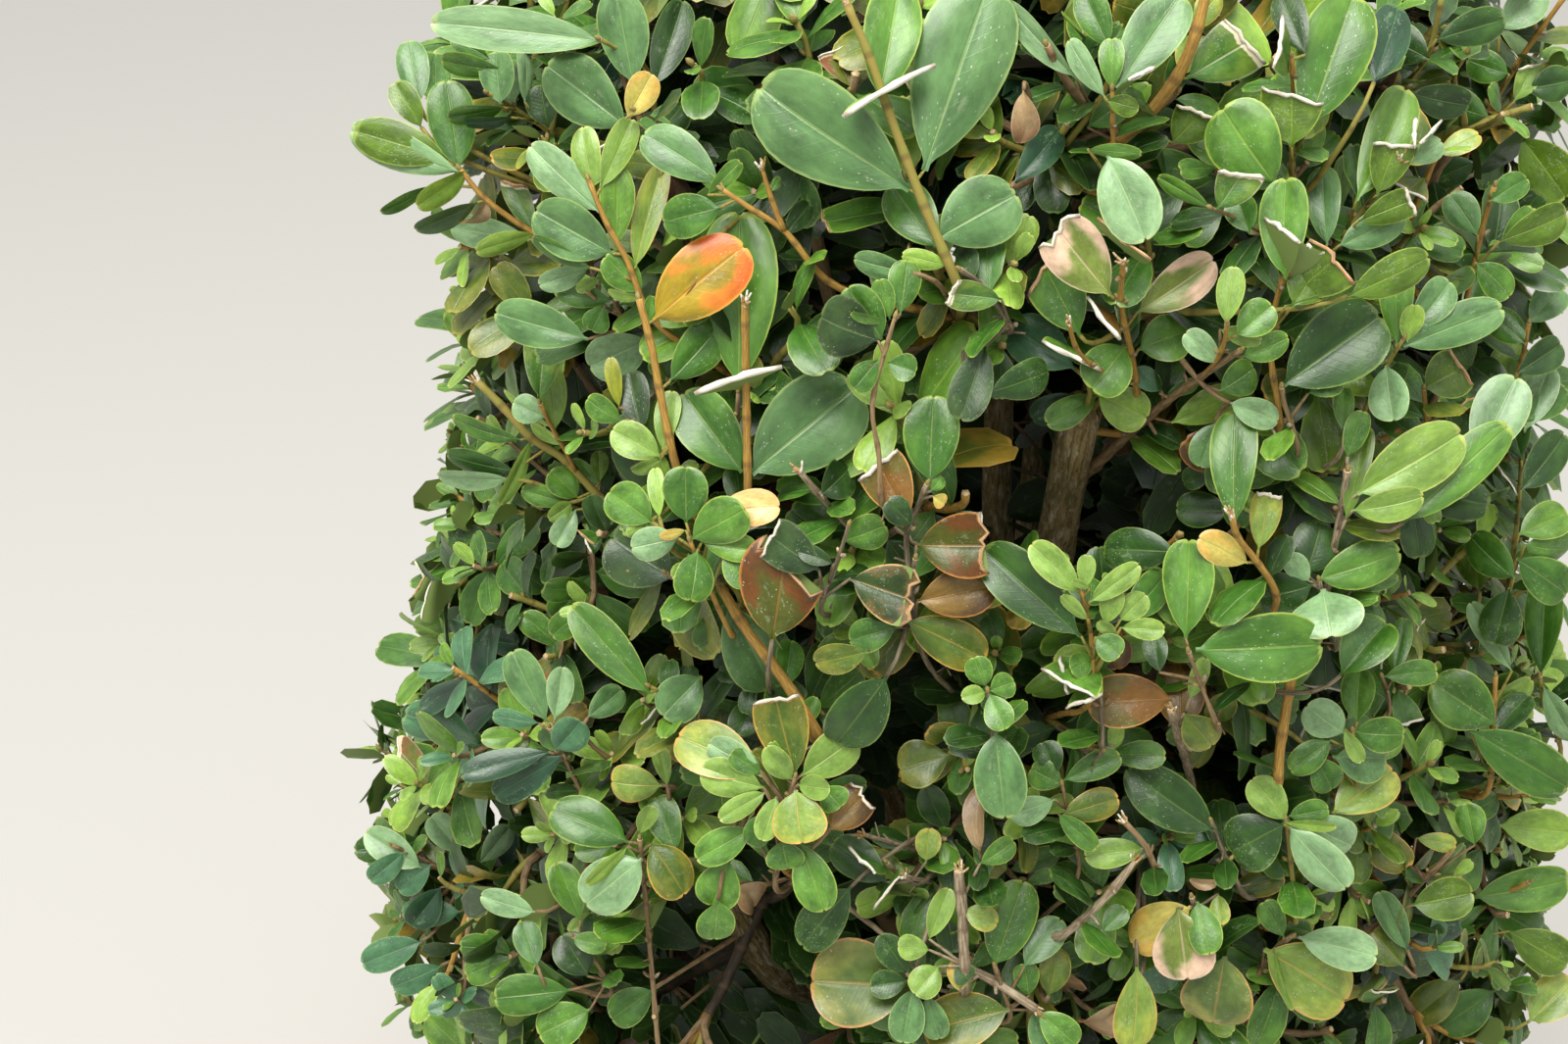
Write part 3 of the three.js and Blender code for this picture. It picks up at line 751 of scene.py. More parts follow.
# Each spray: how far it stands before the outline (mm), its stem from the inner
# end to the tip as (x, y), the stem's half-width in pixels at both ends, its
# wood tint, its leaves (base x, y, tip x, y, width, tint, then how far the tip
# comes forward in mm, the roll in degrees and the share left by the shears),
# and its shorn ends seen edge-on (from x, y, to x, y, root x, y, tint).
SPRAYS = [
    # far left sprig
    (6, [(552, 243), (520, 222), (492, 200), (470, 173)], 5, 4, 0, [
        (470, 176, 347, 138, 42, 28, 2, 12), (457, 163, 362, 130, 46, 31, 3), (468, 172, 456, 80, 50, 2),
        (430, 130, 402, 82, 30, 31, 2), (428, 106, 414, 37, 33, 19, -2), (478, 174, 428, 213, 24, 7, 4, 45),
        (443, 188, 391, 223, 14, 2, 0, 55), (487, 207, 424, 239, 22, 1, -4, 35), (497, 205, 480, 240, 20, 13, -3, 30),
        (444, 110, 446, 46, 34, 2, -7), (545, 238, 486, 258, 20, 7, 3, 40), (540, 245, 452, 232, 34, 28, -6, 10),
        (545, 238, 521, 186, 26, 14, 0, 15, 0.8)], []),
    (2, [(590, 160), (552, 128), (520, 108), (498, 95)], 6, 4, 1, [
        (515, 110, 456, 122, 18, 2, 0, 50), (522, 120, 474, 131, 14, 5, 0, 55), (511, 106, 503, 52, 38, 19),
        (536, 105, 541, 45, 16, 28, 0, 55), (560, 130, 548, 86, 38, 0, 2), (515, 72, 447, 68, 26, 3, 0, 30),
        (500, 60, 460, 36, 20, 2)], []),
    (2, [(650, 60), (630, 50), (612, 40)], 5, 4, 1, [
        (614, 42, 438, 18, 46, 28, 2), (640, 130, 556, 62, 64, 19, -4), (646, 86, 628, -12, 52, 19, 4),
        (668, 88, 700, -6, 40, 0, -3)], []),
    (8, [(690, 140), (668, 122), (648, 112)], 3, 2, 2, [
        (640, 120, 666, 75, 34, 17, 2)], []),
    (4, [(832, 275), (800, 235), (765, 212), (738, 194)], 7, 4, 0, [
        (735, 186, 655, 130, 48, 19), (722, 199, 757, 165, 18, 18, 2, 30), (735, 212, 672, 226, 46, 2, -2),
        (800, 240, 830, 205, 24, 0, -2), (742, 196, 712, 178, 14, 18, 0, 20)], []),
    (2, [(800, 235), (788, 205), (777, 170)], 5, 3, 0, [(786, 196, 796, 180, 9, 18)], []),
    # bright whorl
    (13, [(655, 306), (640, 266), (618, 226), (601, 184)], 6, 4, 0, [
        (612, 216, 536, 148, 40, 28, 2), (606, 193, 589, 128, 31, 8), (613, 192, 646, 120, 31, 8, 2),
        (628, 253, 632, 169, 37, 6, 5), (648, 274, 672, 162, 31, 24, 2), (625, 259, 546, 212, 58, 19, 1),
        (602, 273, 540, 246, 20, 2, 0, 35), (655, 297, 617, 262, 36, 18, 4), (657, 304, 618, 302, 11, 7, 0, 45),
        (660, 331, 667, 302, 14, 18, 2)], []),
    # orange leaf and its stem
    (12, [(684, 452), (673, 398), (664, 350), (652, 305)], 8, 6, 0, [
        (667, 327, 757, 248, 74, 11, 6, 0), (726, 256, 716, 300, 11, 13, 7, 0), (684, 389, 738, 330, 47, 2, -1), (676, 460, 683, 397, 27, 8),
        (674, 466, 625, 437, 38, 8, 2), (674, 469, 645, 484, 17, 8, 0, 30)], []),
    (-3, [(752, 440), (753, 400)], 5, 4, 2, [(753, 396, 758, 214, 80, 18, 2, 0)], []),
    (0, [(670, 400), (655, 420), (645, 430)], 4, 3, 2, [
        (662, 346, 600, 376, 50, 28, -2), (632, 416, 622, 364, 17, 29, 2), (634, 430, 597, 410, 27, 18, 2),
        (655, 442, 640, 378, 36, 21, -2)], []),
    # cut orange twig with its wide pair
    (9, [(763, 500), (762, 440), (761, 375), (760, 306)], 7, 6, 0, [
        (757, 482, 696, 397, 62, 2, 0, 4), (767, 483, 874, 391, 94, 19, 4, 6)],
        [(708, 397, 797, 373, 761, 398, 7)]),
    # wide leaves at the top
    (16, [(975, 285), (945, 215), (912, 128), (886, 55), (864, 4)], 9, 7, 1, [
        (928, 193, 769, 90, 100, 19, 6, 6), (943, 174, 1008, -18, 100, 19, 4, 6), (897, 100, 922, -28, 60, 18, -2, 6),
        (957, 243, 1038, 195, 74, 19, 3, 6), (955, 252, 908, 184, 52, 2, -5), (967, 271, 921, 260, 21, 7, 2)],
        [(857, 117, 955, 63, 893, 94, 7)]),
    (3, [(1162, 160), (1128, 124), (1092, 88), (1068, 46)], 12, 8, 2, [
        (1098, 80, 1017, 3, 26, 28, 0, 30), (1045, 92, 1048, 150, 28, 13, 0, 20), (1035, 186, 1088, 128, 36, 5, -2),
        (1110, 130, 1150, 100, 30, 2, 2)], []),
    (7, [(1138, 190), (1136, 145), (1135, 92)], 6, 4, 0, [
        (1127, 99, 1085, 42, 24, 28, 0, 25), (1135, 91, 1133, 37, 27, 18, 2), (1140, 90, 1205, -8, 58, 19, -1),
        (1131, 47, 1104, -12, 36, 2, -2), (1130, 102, 1160, 112, 22, 31, 4, 20), (1130, 158, 1172, 244, 62, 28, 3, 4),
        (1110, 152, 1165, 158, 16, 18, 3, 30)],
        [(1146, 86, 1182, 64, 1140, 95, 14), (1120, 222, 1172, 268, 1150, 255, 31)]),
    (4, [(1165, 125), (1200, 80), (1219, 38), (1232, -12)], 13, 10, 0, [
        (1211, 80, 1272, 42, 62, 14, 0, 4, 0.7), (1196, 146, 1226, 116, 50, 31, 3, 4, 0.62)], []),
    (5, [(1292, 240), (1260, 222), (1236, 212)], 5, 3, 2, [
        (1242, 214, 1268, 178, 46, 14, 3, 4, 0.62), (1236, 212, 1180, 180, 18, 18, -2, 35),
        (1302, 189, 1243, 113, 76, 18, 2, 6), (1275, 238, 1262, 200, 34, 2, -2)], []),
    (9, [(1322, 240), (1318, 150), (1320, 90), (1318, 58)], 7, 5, 0, [
        (1335, 129, 1382, -14, 76, 3, 4, 6), (1332, 56, 1304, -12, 36, 21, -4), (1402, 84, 1430, 2, 46, 5, -6),
        (1318, 150, 1318, 98, 64, 31, 3, 4, 0.62)],
        [(1308, 10, 1305, 76, 1318, 70, 14)]),
    (9, [(1345, 270), (1385, 222), (1410, 190), (1430, 165)], 6, 4, 1, [
        (1384, 205, 1446, 88, 50, 6, -2, 6), (1405, 199, 1424, 148, 44, 31, 3, 4, 0.62), (1440, 166, 1473, 145, 26, 28),
        (1386, 226, 1440, 206, 32, 31, 2, 20, 0.8), (1366, 251, 1440, 218, 38, 19, 1), (1354, 250, 1345, 165, 35, 19, -1)],
        [(1444, 118, 1443, 152, 1448, 158, 7), (1473, 118, 1446, 152, 1448, 158, 7)]),
    (9, [(1305, 420), (1296, 350), (1304, 300), (1315, 275)], 7, 5, 0, [
        (1312, 284, 1304, 181, 50, 18, 1, 6), (1318, 313, 1350, 268, 62, 31, 2, 4, 0.7),
        (1312, 312, 1400, 303, 15, 18, 0, 45), (1375, 302, 1472, 260, 42, 31, -4)],
        [(1296, 205, 1320, 262, 1312, 280, 31), (1316, 247, 1352, 256, 1316, 284, 31),
         (1345, 238, 1378, 292, 1322, 300, 31)]),
    # left middle: shoot with a shorn tip
    (9, [(655, 548), (606, 501), (575, 468), (541, 446), (511, 413), (487, 389)], 6, 6, 1, [
        (531, 449, 457, 437, 20, 3, 2, 30),
        (543, 447, 514, 519, 17, 8, 0, 35), (525, 480, 450, 470, 24, 1, -3, 30), (520, 489, 446, 491, 22, 28, -4, 35),
        (579, 513, 531, 500, 23, 18, 2), (590, 508, 562, 480, 31, 18, 3), (584, 513, 562, 531, 21, 8, 3),
        (588, 520, 566, 556, 26, 28), (612, 493, 578, 472, 23, 18), (612, 491, 611, 460, 19, 8, 2)], []),
    (-11, [(590, 482), (576, 458), (563, 436), (551, 412)], 4, 4, 0, [
        (550, 408, 556, 343, 42, 14, 2, 4, 0.62), (566, 440, 563, 367, 31, 8, 3), (556, 426, 523, 411, 30, 28),
        (562, 436, 510, 402, 10, 7, 0, 50), (573, 454, 540, 434, 13, 7, 0, 45)], []),
    (0, [(650, 330), (620, 315), (602, 300)], 4, 3, 2, [
        (600, 346, 497, 316, 48, 19, -2), (602, 273, 551, 294, 25, 28, 2), (612, 284, 588, 295, 14, 8, 2),
        (625, 306, 565, 299, 25, 2), (616, 312, 604, 338, 29, 2)], []),
    # middle rosette with the peach-coloured leaf
    (20, [(742, 640), (722, 595), (704, 552)], 6, 4, 0, [
        (700, 533, 700, 477, 47, 2, 4), (673, 528, 665, 475, 18, 7), (665, 533, 622, 500, 45, 18, 2),
        (706, 549, 759, 520, 50, 18, 6), (728, 524, 792, 513, 39, 16, 6, 0), (716, 553, 772, 562, 30, 6, 1),
        (743, 556, 764, 599, 35, 18, 3), (712, 561, 707, 612, 42, 3, 4), (704, 577, 687, 588, 19, 8, 3),
        (692, 549, 644, 559, 35, 28, 2), (700, 541, 675, 549, 11, 17, 3, 20), (660, 534, 640, 545, 14, 8, 2)], []),
    (-1, [(700, 600), (680, 585)], 4, 3, 2, [(688, 590, 622, 548, 72, 21, -4)], []),
    # small rosette
    (4, [(898, 500), (897, 465), (890, 415), (905, 352), (913, 324)], 5, 3, 2, [
        (896, 347, 835, 328, 64, 21, 1), (900, 346, 866, 292, 42, 2, 2), (908, 326, 898, 286, 23, 18, 4),
        (919, 320, 926, 264, 34, 3), (930, 278, 869, 268, 27, 19, -3), (896, 367, 872, 397, 29, 2, 2),
        (906, 370, 935, 378, 30, 2, 2), (905, 328, 868, 325, 10, 18, 3, 35)], []),
    (4, [(930, 600), (925, 545), (935, 520), (946, 494)], 7, 5, 3, [
        (949, 492, 950, 403, 58, 2, 2, 6), (950, 501, 963, 486, 16, 18), (952, 506, 965, 514, 17, 17),
        (930, 536, 907, 511, 29, 0, 3), (928, 530, 896, 474, 54, 26, 1, 6, 0.72)], []),
    (3, [(880, 548), (846, 516), (815, 480)], 7, 6, 6, [
        (838, 505, 870, 478, 40, 0, -4), (860, 552, 903, 538, 38, 18, 5), (905, 550, 930, 584, 36, 1, -2)], []),
    # cluster of browned, shorn leaves
    (9, [(840, 610), (852, 580), (866, 536)], 7, 4, 3, [
        (868, 590, 930, 612, 62, 22, 4, 4, 0.8), (788, 652, 800, 578, 88, 23, 4, 4, 0.7),
        (836, 582, 787, 548, 48, 21, 2, 16, 0.8), (850, 575, 815, 560, 20, 0, 1)], []),
    (6, [(935, 640), (930, 600), (934, 570)], 5, 4, 3, [
        (935, 556, 1003, 556, 68, 23, 4, 4, 0.76), (936, 613, 1018, 598, 52, 12, 2, 6), (925, 633, 1010, 674, 50, 20, -1, 6),
        (914, 640, 865, 653, 36, 2, -2), (886, 664, 832, 680, 34, 9, -5), (905, 690, 850, 766, 60, 1, -9)], []),
    (4, [(828, 738), (815, 716), (790, 680), (760, 640), (735, 598)], 11, 9, 0, [
        (744, 614, 790, 713, 62, 19, -13), (816, 742, 833, 712, 21, 18, 2), (800, 700, 812, 650, 30, 2, -5)], []),
    # rosette below it
    (16, [(792, 890), (800, 835), (811, 793)], 6, 4, 2, [
        (812, 791, 790, 714, 56, 20, 4, 4, 0.84), (818, 791, 873, 754, 47, 8, 2), (808, 795, 782, 766, 27, 8, 6),
        (800, 791, 790, 757, 23, 6, 3), (776, 789, 746, 767, 25, 3, 1), (776, 786, 721, 760, 33, 28, 0),
        (778, 791, 691, 744, 58, 24, -4), (779, 803, 714, 789, 39, 8, 2), (781, 808, 734, 836, 23, 8, 3),
        (815, 800, 843, 806, 26, 8, 7), (812, 806, 815, 860, 57, 24, 5), (792, 813, 779, 858, 27, 8, 3),
        (785, 830, 764, 863, 29, 2, 0), (766, 846, 709, 878, 36, 18, 1), (798, 857, 803, 888, 40, 3, 0),
        (817, 860, 841, 931, 43, 18, 1), (840, 802, 858, 824, 33, 18, 1), (846, 847, 880, 812, 42, 12, -2, 4, 0.8),
        (745, 877, 724, 927, 47, 18, -2), (733, 918, 729, 962, 40, 18, -4)], []),
    (8, [(674, 1080), (666, 1000), (658, 910), (653, 856)], 5, 4, 2, [
        (641, 859, 564, 820, 50, 2, 2), (653, 850, 664, 822, 20, 8, 2), (655, 876, 594, 926, 58, 28, 1),
        (640, 863, 601, 906, 16, 7, 3, 45), (675, 801, 622, 803, 39, 24, 1), (681, 802, 672, 756, 19, 8, 2),
        (664, 861, 702, 911, 47, 20, 2), (690, 870, 668, 812, 36, 3, -3)], []),
    (2, [(620, 1000), (600, 970), (585, 955)], 5, 4, 2, [
        (592, 938, 570, 880, 34, 18), (546, 930, 489, 917, 27, 28, 1), (582, 1010, 503, 1020, 42, 2, 4),
        (602, 1030, 548, 1057, 46, 18, 3), (666, 1010, 621, 1041, 38, 2), (600, 996, 574, 953, 42, 0, -1),
        (584, 957, 618, 966, 22, 18, 2), (548, 985, 532, 940, 30, 19, -1)], []),
    # bluish rosette
    (10, [(598, 815), (575, 770), (561, 742)], 5, 4, 2, [
        (558, 736, 520, 665, 41, 19, 2), (566, 734, 575, 680, 29, 28), (550, 738, 501, 732, 19, 4, 2, 20),
        (566, 766, 593, 738, 39, 4, 4), (560, 767, 468, 787, 30, 5, 3), (575, 770, 503, 815, 36, 5, -4),
        (600, 732, 636, 702, 30, 19, -4)], []),
    (9, [(712, 745), (690, 716), (663, 700)], 5, 3, 1, [
        (663, 707, 579, 619, 44, 3, 2, 6), (716, 690, 675, 730, 48, 19, 3, 6)], []),
    # little cross of four and the hanging leaf under it
    (14, [(1012, 800), (1012, 750), (1008, 706)], 4, 3, 3, [
        (1006, 701, 993, 673, 28, 18, 3), (1006, 706, 983, 711, 20, 8, 3), (1010, 704, 1035, 696, 27, 18, 3),
        (1010, 708, 1026, 744, 31, 18, 3), (1016, 746, 1024, 838, 54, 19, 2, 6)], []),
    (2, [(1010, 900), (1003, 880), (1000, 868)], 4, 3, 3, [(1000, 870, 986, 788, 26, 13, 2, 25)], []),
    # yellow-green rosette
    (11, [(1116, 690), (1114, 655), (1110, 630), (1103, 602)], 6, 4, 0, [
        (1103, 649, 1001, 560, 58, 1, 0, 6), (1100, 603, 1053, 555, 33, 8, 2), (1106, 600, 1111, 566, 19, 8, 1),
        (1113, 613, 1164, 578, 25, 8, 3), (1110, 632, 1083, 609, 14, 8, 2, 30), (1128, 636, 1140, 600, 25, 8, 3),
        (1143, 633, 1169, 606, 27, 8, 2), (1144, 640, 1187, 643, 23, 8, 5), (1140, 650, 1121, 634, 14, 8, 3, 25),
        (1118, 650, 1144, 668, 30, 3, 2), (1112, 600, 1095, 592, 9, 8, 3)], []),
    (7, [(1125, 760), (1122, 700), (1116, 672)], 5, 4, 3, [
        (1116, 671, 1094, 682, 27, 18, 4), (1120, 676, 1085, 690, 40, 18, 1, 4, 0.6)],
        [(1058, 690, 1122, 702, 1118, 678, 18), (1123, 702, 1087, 728, 1119, 690, 18)]),
    (5, [(1217, 812), (1213, 788), (1205, 760), (1195, 724)], 7, 6, 6, [
        (1197, 713, 1111, 716, 56, 26, 2, 6), (1204, 746, 1206, 672, 52, 12, -2, 6), (1214, 713, 1231, 672, 19, 8, 3),
        (1208, 728, 1238, 764, 40, 9, -3)], []),
    (10, [(1240, 735), (1222, 690), (1213, 665)], 6, 4, 2, [
        (1210, 651, 1216, 550, 53, 18, 2, 6), (1220, 663, 1358, 660, 72, 3, 3, 6), (1200, 563, 1121, 558, 46, 1, -5),
        (1148, 631, 1196, 585, 38, 2, -3), (1183, 686, 1176, 645, 26, 1, -2)], []),
    (9, [(1298, 596), (1281, 571), (1262, 546), (1257, 527)], 7, 5, 0, [
        (1273, 574, 1225, 550, 34, 17, 3), (1284, 561, 1296, 505, 32, 24, 2, 4, 0.86), (1260, 536, 1253, 414, 49, 3, 0, 6)], []),
    (7, [(1362, 650), (1352, 615), (1346, 592)], 5, 4, 3, [
        (1345, 591, 1431, 567, 48, 18, 2, 6), (1333, 586, 1351, 532, 47, 1, 1), (1350, 601, 1357, 646, 74, 28, 9, 4),
        (1340, 597, 1283, 613, 48, 1, -2), (1336, 593, 1315, 568, 25, 28, 3), (1368, 689, 1416, 631, 53, 2, -3),
        (1380, 599, 1430, 592, 16, 3, -1, 35)], []),
    (5, [(1418, 720), (1414, 700), (1410, 690)], 4, 3, 2, [
        (1412, 690, 1469, 683, 28, 3, 1), (1422, 691, 1433, 627, 22, 2, -3)], []),
    (9, [(1384, 810), (1382, 770), (1380, 746)], 5, 4, 1, [
        (1385, 736, 1385, 681, 35, 18, 2), (1372, 749, 1334, 722, 41, 28, 2), (1382, 747, 1434, 752, 39, 3, 3),
        (1358, 755, 1317, 786, 31, 3, 1), (1341, 772, 1363, 807, 35, 2, -1), (1360, 771, 1417, 776, 50, 19, -3),
        (1372, 744, 1388, 778, 17, 8, 4, 20), (1360, 830, 1423, 782, 52, 24, -5)], []),
    (9, [(1322, 930), (1316, 870), (1312, 836)], 5, 4, 1, [
        (1312, 836, 1281, 795, 37, 8, 3), (1315, 833, 1357, 825, 26, 3, 1), (1310, 838, 1364, 847, 12, 7, 4, 45),
        (1315, 843, 1373, 910, 46, 28, 2), (1331, 838, 1386, 869, 46, 28, -3), (1310, 841, 1254, 871, 62, 1, -5)], []),
    (6, [(1275, 1010), (1300, 968), (1318, 955)], 5, 4, 2, [
        (1310, 956, 1290, 921, 27, 3, 2), (1325, 956, 1408, 976, 44, 28, 4, 6), (1290, 968, 1386, 1026, 74, 24, -3, 6),
        (1300, 969, 1316, 1033, 10, 8, 2, 50), (1257, 909, 1311, 893, 30, 20, 2)], []),
    (6, [(1240, 1010), (1222, 940), (1216, 915)], 5, 4, 3, [
        (1202, 926, 1212, 1002, 64, 27, 1, 6), (1222, 920, 1236, 973, 35, 18, 5), (1243, 912, 1246, 944, 21, 24, 3),
        (1250, 976, 1236, 1049, 74, 25, -4, 6), (1160, 986, 1162, 1074, 45, 24, 0), (1150, 1022, 1108, 1064, 42, 13, -3),
        (1215, 925, 1148, 965, 50, 17, -5)], []),
    (3, [(1262, 900), (1245, 862), (1236, 838)], 6, 4, 3, [
        (1238, 847, 1149, 789, 56, 1, 2, 6), (1244, 900, 1218, 905, 12, 13, 3)], []),
    (4, [(1098, 944), (1130, 914), (1158, 878)], 8, 6, 6, [
        (1166, 865, 1109, 876, 31, 8, 3), (1125, 950, 1148, 925, 24, 2)], []),
    (5, [(1180, 888), (1168, 862), (1147, 838)], 5, 4, 2, [], []),
    (0, [(1304, 792), (1306, 764), (1312, 726), (1318, 690)], 9, 8, 0, [], []),
    (7, [(962, 884), (938, 868), (912, 860), (880, 851)], 4, 3, 6, [], []),
    (7, [(966, 906), (945, 899), (922, 894)], 4, 3, 6, [], []),
    (2, [(1100, 870), (1090, 830), (1084, 800)], 4, 3, 2, [
        (1080, 830, 1119, 867, 23, 3, 1), (1085, 831, 1143, 815, 33, 20, 1), (1085, 801, 1051, 785, 33, 3),
        (1085, 796, 1144, 769, 29, 3), (1078, 790, 1064, 757, 31, 1), (1076, 815, 1028, 836, 31, 28, -3)], []),
    (8, [(985, 985), (983, 960), (982, 930), (978, 888)], 8, 8, 6, [
        (1000, 881, 1037, 861, 25, 18), (948, 958, 968, 907, 25, 8, 2), (948, 969, 917, 965, 27, 8, 3),
        (958, 986, 934, 1013, 34, 8, 4), (931, 1008, 921, 1065, 37, 19, 1), (946, 1015, 958, 1063, 29, 19, -1),
        (925, 992, 900, 955, 32, 1, 3), (926, 1001, 888, 1005, 29, 1, 1), (975, 985, 990, 1000, 26, 1, 1),
        (984, 928, 1018, 943, 27, 24, 2), (980, 1012, 975, 980, 22, 17)], []),
    (4, [(1030, 1030), (1020, 1000), (1015, 985)], 5, 4, 2, [
        (1015, 985, 1045, 899, 52, 3, 1), (1045, 986, 1081, 935, 36, 19, -2), (1070, 1016, 1083, 969, 33, 9),
        (1050, 1016, 1045, 984, 27, 3, 2), (1030, 1030, 940, 1050, 60, 20, -1), (1055, 1030, 1075, 1075, 34, 19, 1)], []),
    (1, [(960, 1010), (940, 1008), (930, 1005)], 4, 3, 3, [(930, 1006, 827, 1000, 90, 25, 3, 0)], []),
    (3, [(930, 900), (915, 890), (905, 880)], 5, 4, 3, [
        (905, 900, 850, 858, 42, 1, -1), (945, 879, 948, 845, 27, 24, 1), (868, 905, 815, 966, 48, 1, -6)],
        [(860, 865, 898, 890, 905, 885, 2), (888, 932, 918, 890, 915, 892, 2)]),
    (-12, [(985, 770), (972, 768)], 3, 3, 3, [(969, 770, 917, 785, 50, 9, 0)], []),
    # rosette with the shorn leaves, right of the middle
    (11, [(1156, 438), (1160, 400), (1152, 350), (1144, 312), (1146, 268)], 8, 5, 0, [
        (1133, 301, 1078, 236, 64, 27, 2, 4, 0.86), (1102, 342, 1066, 272, 58, 3, 2, 6, 0.85),
        (1097, 376, 1029, 330, 54, 4, -2), (1150, 352, 1117, 393, 54, 18, 6, 6), (1120, 403, 1070, 433, 31, 18, 3),
        (1096, 402, 1051, 428, 29, 5, -3), (1120, 402, 1171, 427, 46, 7, 2), (1162, 356, 1214, 337, 50, 18, 1),
        (1160, 319, 1242, 267, 48, 27, 1, 6)],
        [(1064, 347, 1123, 379, 1092, 350, 18), (1107, 304, 1143, 346, 1140, 320, 26)]),
    (12, [(1155, 386), (1124, 378), (1100, 358), (1090, 328)], 4, 4, 0, [], []),
    (6, [(985, 985), (1018, 1003), (1058, 1030)], 7, 6, 6, [
        (1060, 1032, 1100, 1068, 36, 18, 2)], []),
    (-6, [(772, 902), (760, 900), (750, 902)], 3, 3, 2, [(750, 902, 782, 926, 36, 13, -2, 10)], []),
    (8, [(1112, 480), (1155, 440), (1190, 410), (1225, 385), (1266, 357)], 10, 4, 2, [
        (1246, 371, 1211, 339, 27, 28, 2), (1268, 364, 1317, 347, 29, 18, 2), (1245, 336, 1287, 349, 20, 8, 3, 20),
        (1245, 399, 1282, 377, 38, 3, 1), (1195, 431, 1267, 401, 36, 7, 4), (1255, 411, 1306, 429, 31, 28, 2),
        (1240, 431, 1225, 477, 35, 19, -1), (1235, 481, 1205, 492, 25, 1, -4), (1256, 521, 1199, 520, 38, 1, -5),
        (1186, 399, 1159, 377, 23, 4), (1190, 403, 1223, 391, 16, 3, 1)], []),
    (12, [(1228, 383), (1243, 365), (1250, 346), (1252, 330)], 4, 4, 0, [
        (1251, 331, 1258, 271, 29, 8, 2), (1262, 342, 1299, 311, 38, 18, 2)], []),
    (1, [(1030, 330), (1000, 290), (980, 275)], 6, 5, 3, [
        (1005, 354, 980, 429, 44, 21, 1), (1022, 305, 970, 300, 32, 14, 2, 10, 0.85), (1010, 400, 1080, 380, 40, 1, -6)], []),
    # right-hand side
    (5, [(1320, 440), (1310, 410), (1308, 395)], 5, 4, 2, [
        (1309, 393, 1410, 320, 80, 1, 1, 6), (1335, 401, 1369, 384, 29, 3, 1)], []),
    (10, [(1392, 420), (1412, 378), (1432, 346)], 5, 4, 1, [
        (1415, 373, 1418, 429, 41, 28, 3), (1425, 351, 1424, 261, 36, 18, 1), (1440, 336, 1486, 287, 38, 19, 1),
        (1432, 353, 1538, 312, 44, 19, 2, 6), (1436, 349, 1443, 311, 23, 7, 4, 20)], []),
    (10, [(1356, 590), (1366, 530), (1375, 480)], 7, 6, 6, [
        (1385, 504, 1497, 441, 64, 8, 3, 6), (1380, 521, 1454, 514, 35, 8, 6, 10), (1373, 531, 1396, 434, 24, 31, 1),
        (1432, 533, 1543, 429, 48, 18, 0, 6), (1375, 466, 1391, 419, 25, 3), (1372, 441, 1370, 394, 22, 18)], []),
    (2, [(1470, 500), (1455, 420), (1453, 397)], 5, 4, 0, [
        (1453, 396, 1492, 375, 52, 31, 2, 6, 0.82), (1505, 471, 1549, 383, 56, 28, -2, 6)], []),
    (0, [(1500, 290), (1512, 235), (1525, 190)], 6, 5, 0, [
        (1530, 246, 1606, 222, 38, 31, 1, 25), (1520, 205, 1562, 178, 30, 2), (1508, 240, 1480, 196, 34, 19),
        (1506, 268, 1545, 300, 34, 3)], []),
    (0, [(1500, 150), (1545, 70), (1597, -4)], 6, 5, 0, [
        (1545, 104, 1566, 66, 26, 8, 3, 20, 0.8), (1552, 140, 1602, 202, 54, 31, 1, 6), (1530, 30, 1580, -14, 42, 28),
        (1540, 76, 1496, 62, 34, 2, -2), (1520, 120, 1468, 104, 40, 2, -3), (1506, 165, 1455, 186, 36, 1, -4),
        (1560, 90, 1606, 84, 38, 1, 1)], []),
    (-2, [(1530, 640), (1545, 560), (1552, 480), (1556, 430)], 5, 4, 1, [
        (1552, 500, 1604, 440, 40, 1, -2), (1550, 545, 1602, 520, 40, 6, -2), (1556, 556, 1608, 566, 40, 18, -3), (1553, 470, 1532, 396, 42, 1, -3),
        (1548, 570, 1606, 610, 46, 2, -2), (1545, 590, 1496, 548, 40, 2, -6), (1556, 440, 1580, 372, 36, 28, -1),
        (1556, 430, 1600, 392, 34, 2, -2), (1540, 600, 1524, 660, 44, 1, -5)], []),
    (-4, [(1530, 420), (1552, 370), (1560, 330)], 4, 4, 0, [
        (1560, 330, 1596, 290, 36, 19, 0), (1556, 350, 1520, 316, 34, 2, -3), (1548, 380, 1598, 350, 34, 1, -1),
        (1540, 400, 1500, 372, 38, 0, -6)], []),
    (-2, [(1430, 90), (1455, 60), (1472, -5)], 6, 5, 1, [
        (1466, 40, 1542, 18, 38, 1, 0, 10), (1458, 60, 1404, 30, 44, 1, -3), (1440, 95, 1500, 112, 38, 0, -3)], []),
    (2, [(1480, 960), (1520, 920), (1560, 900)], 6, 4, 0, [
        (1505, 915, 1607, 902, 46, 18, 1), (1540, 950, 1604, 988, 46, 31), (1525, 1010, 1470, 1052, 44, 2),
        (1560, 1042, 1606, 1000, 44, 24), (1530, 842, 1606, 850, 44, 7), (1490, 1000, 1440, 1040, 40, 9)], []),
    (0, [(500, 905), (450, 885), (400, 862)], 4, 3, 2, [
        (430, 885, 370, 850, 34, 28), (440, 882, 404, 908, 30, 4), (412, 870, 378, 900, 26, 4), (450, 905, 420, 947, 34, 5),
        (470, 930, 408, 936, 30, 4), (430, 960, 366, 985, 34, 4), (450, 985, 400, 1012, 30, 4),
        (470, 870, 440, 832, 30, 28), (490, 880, 522, 845, 26, 28)], []),
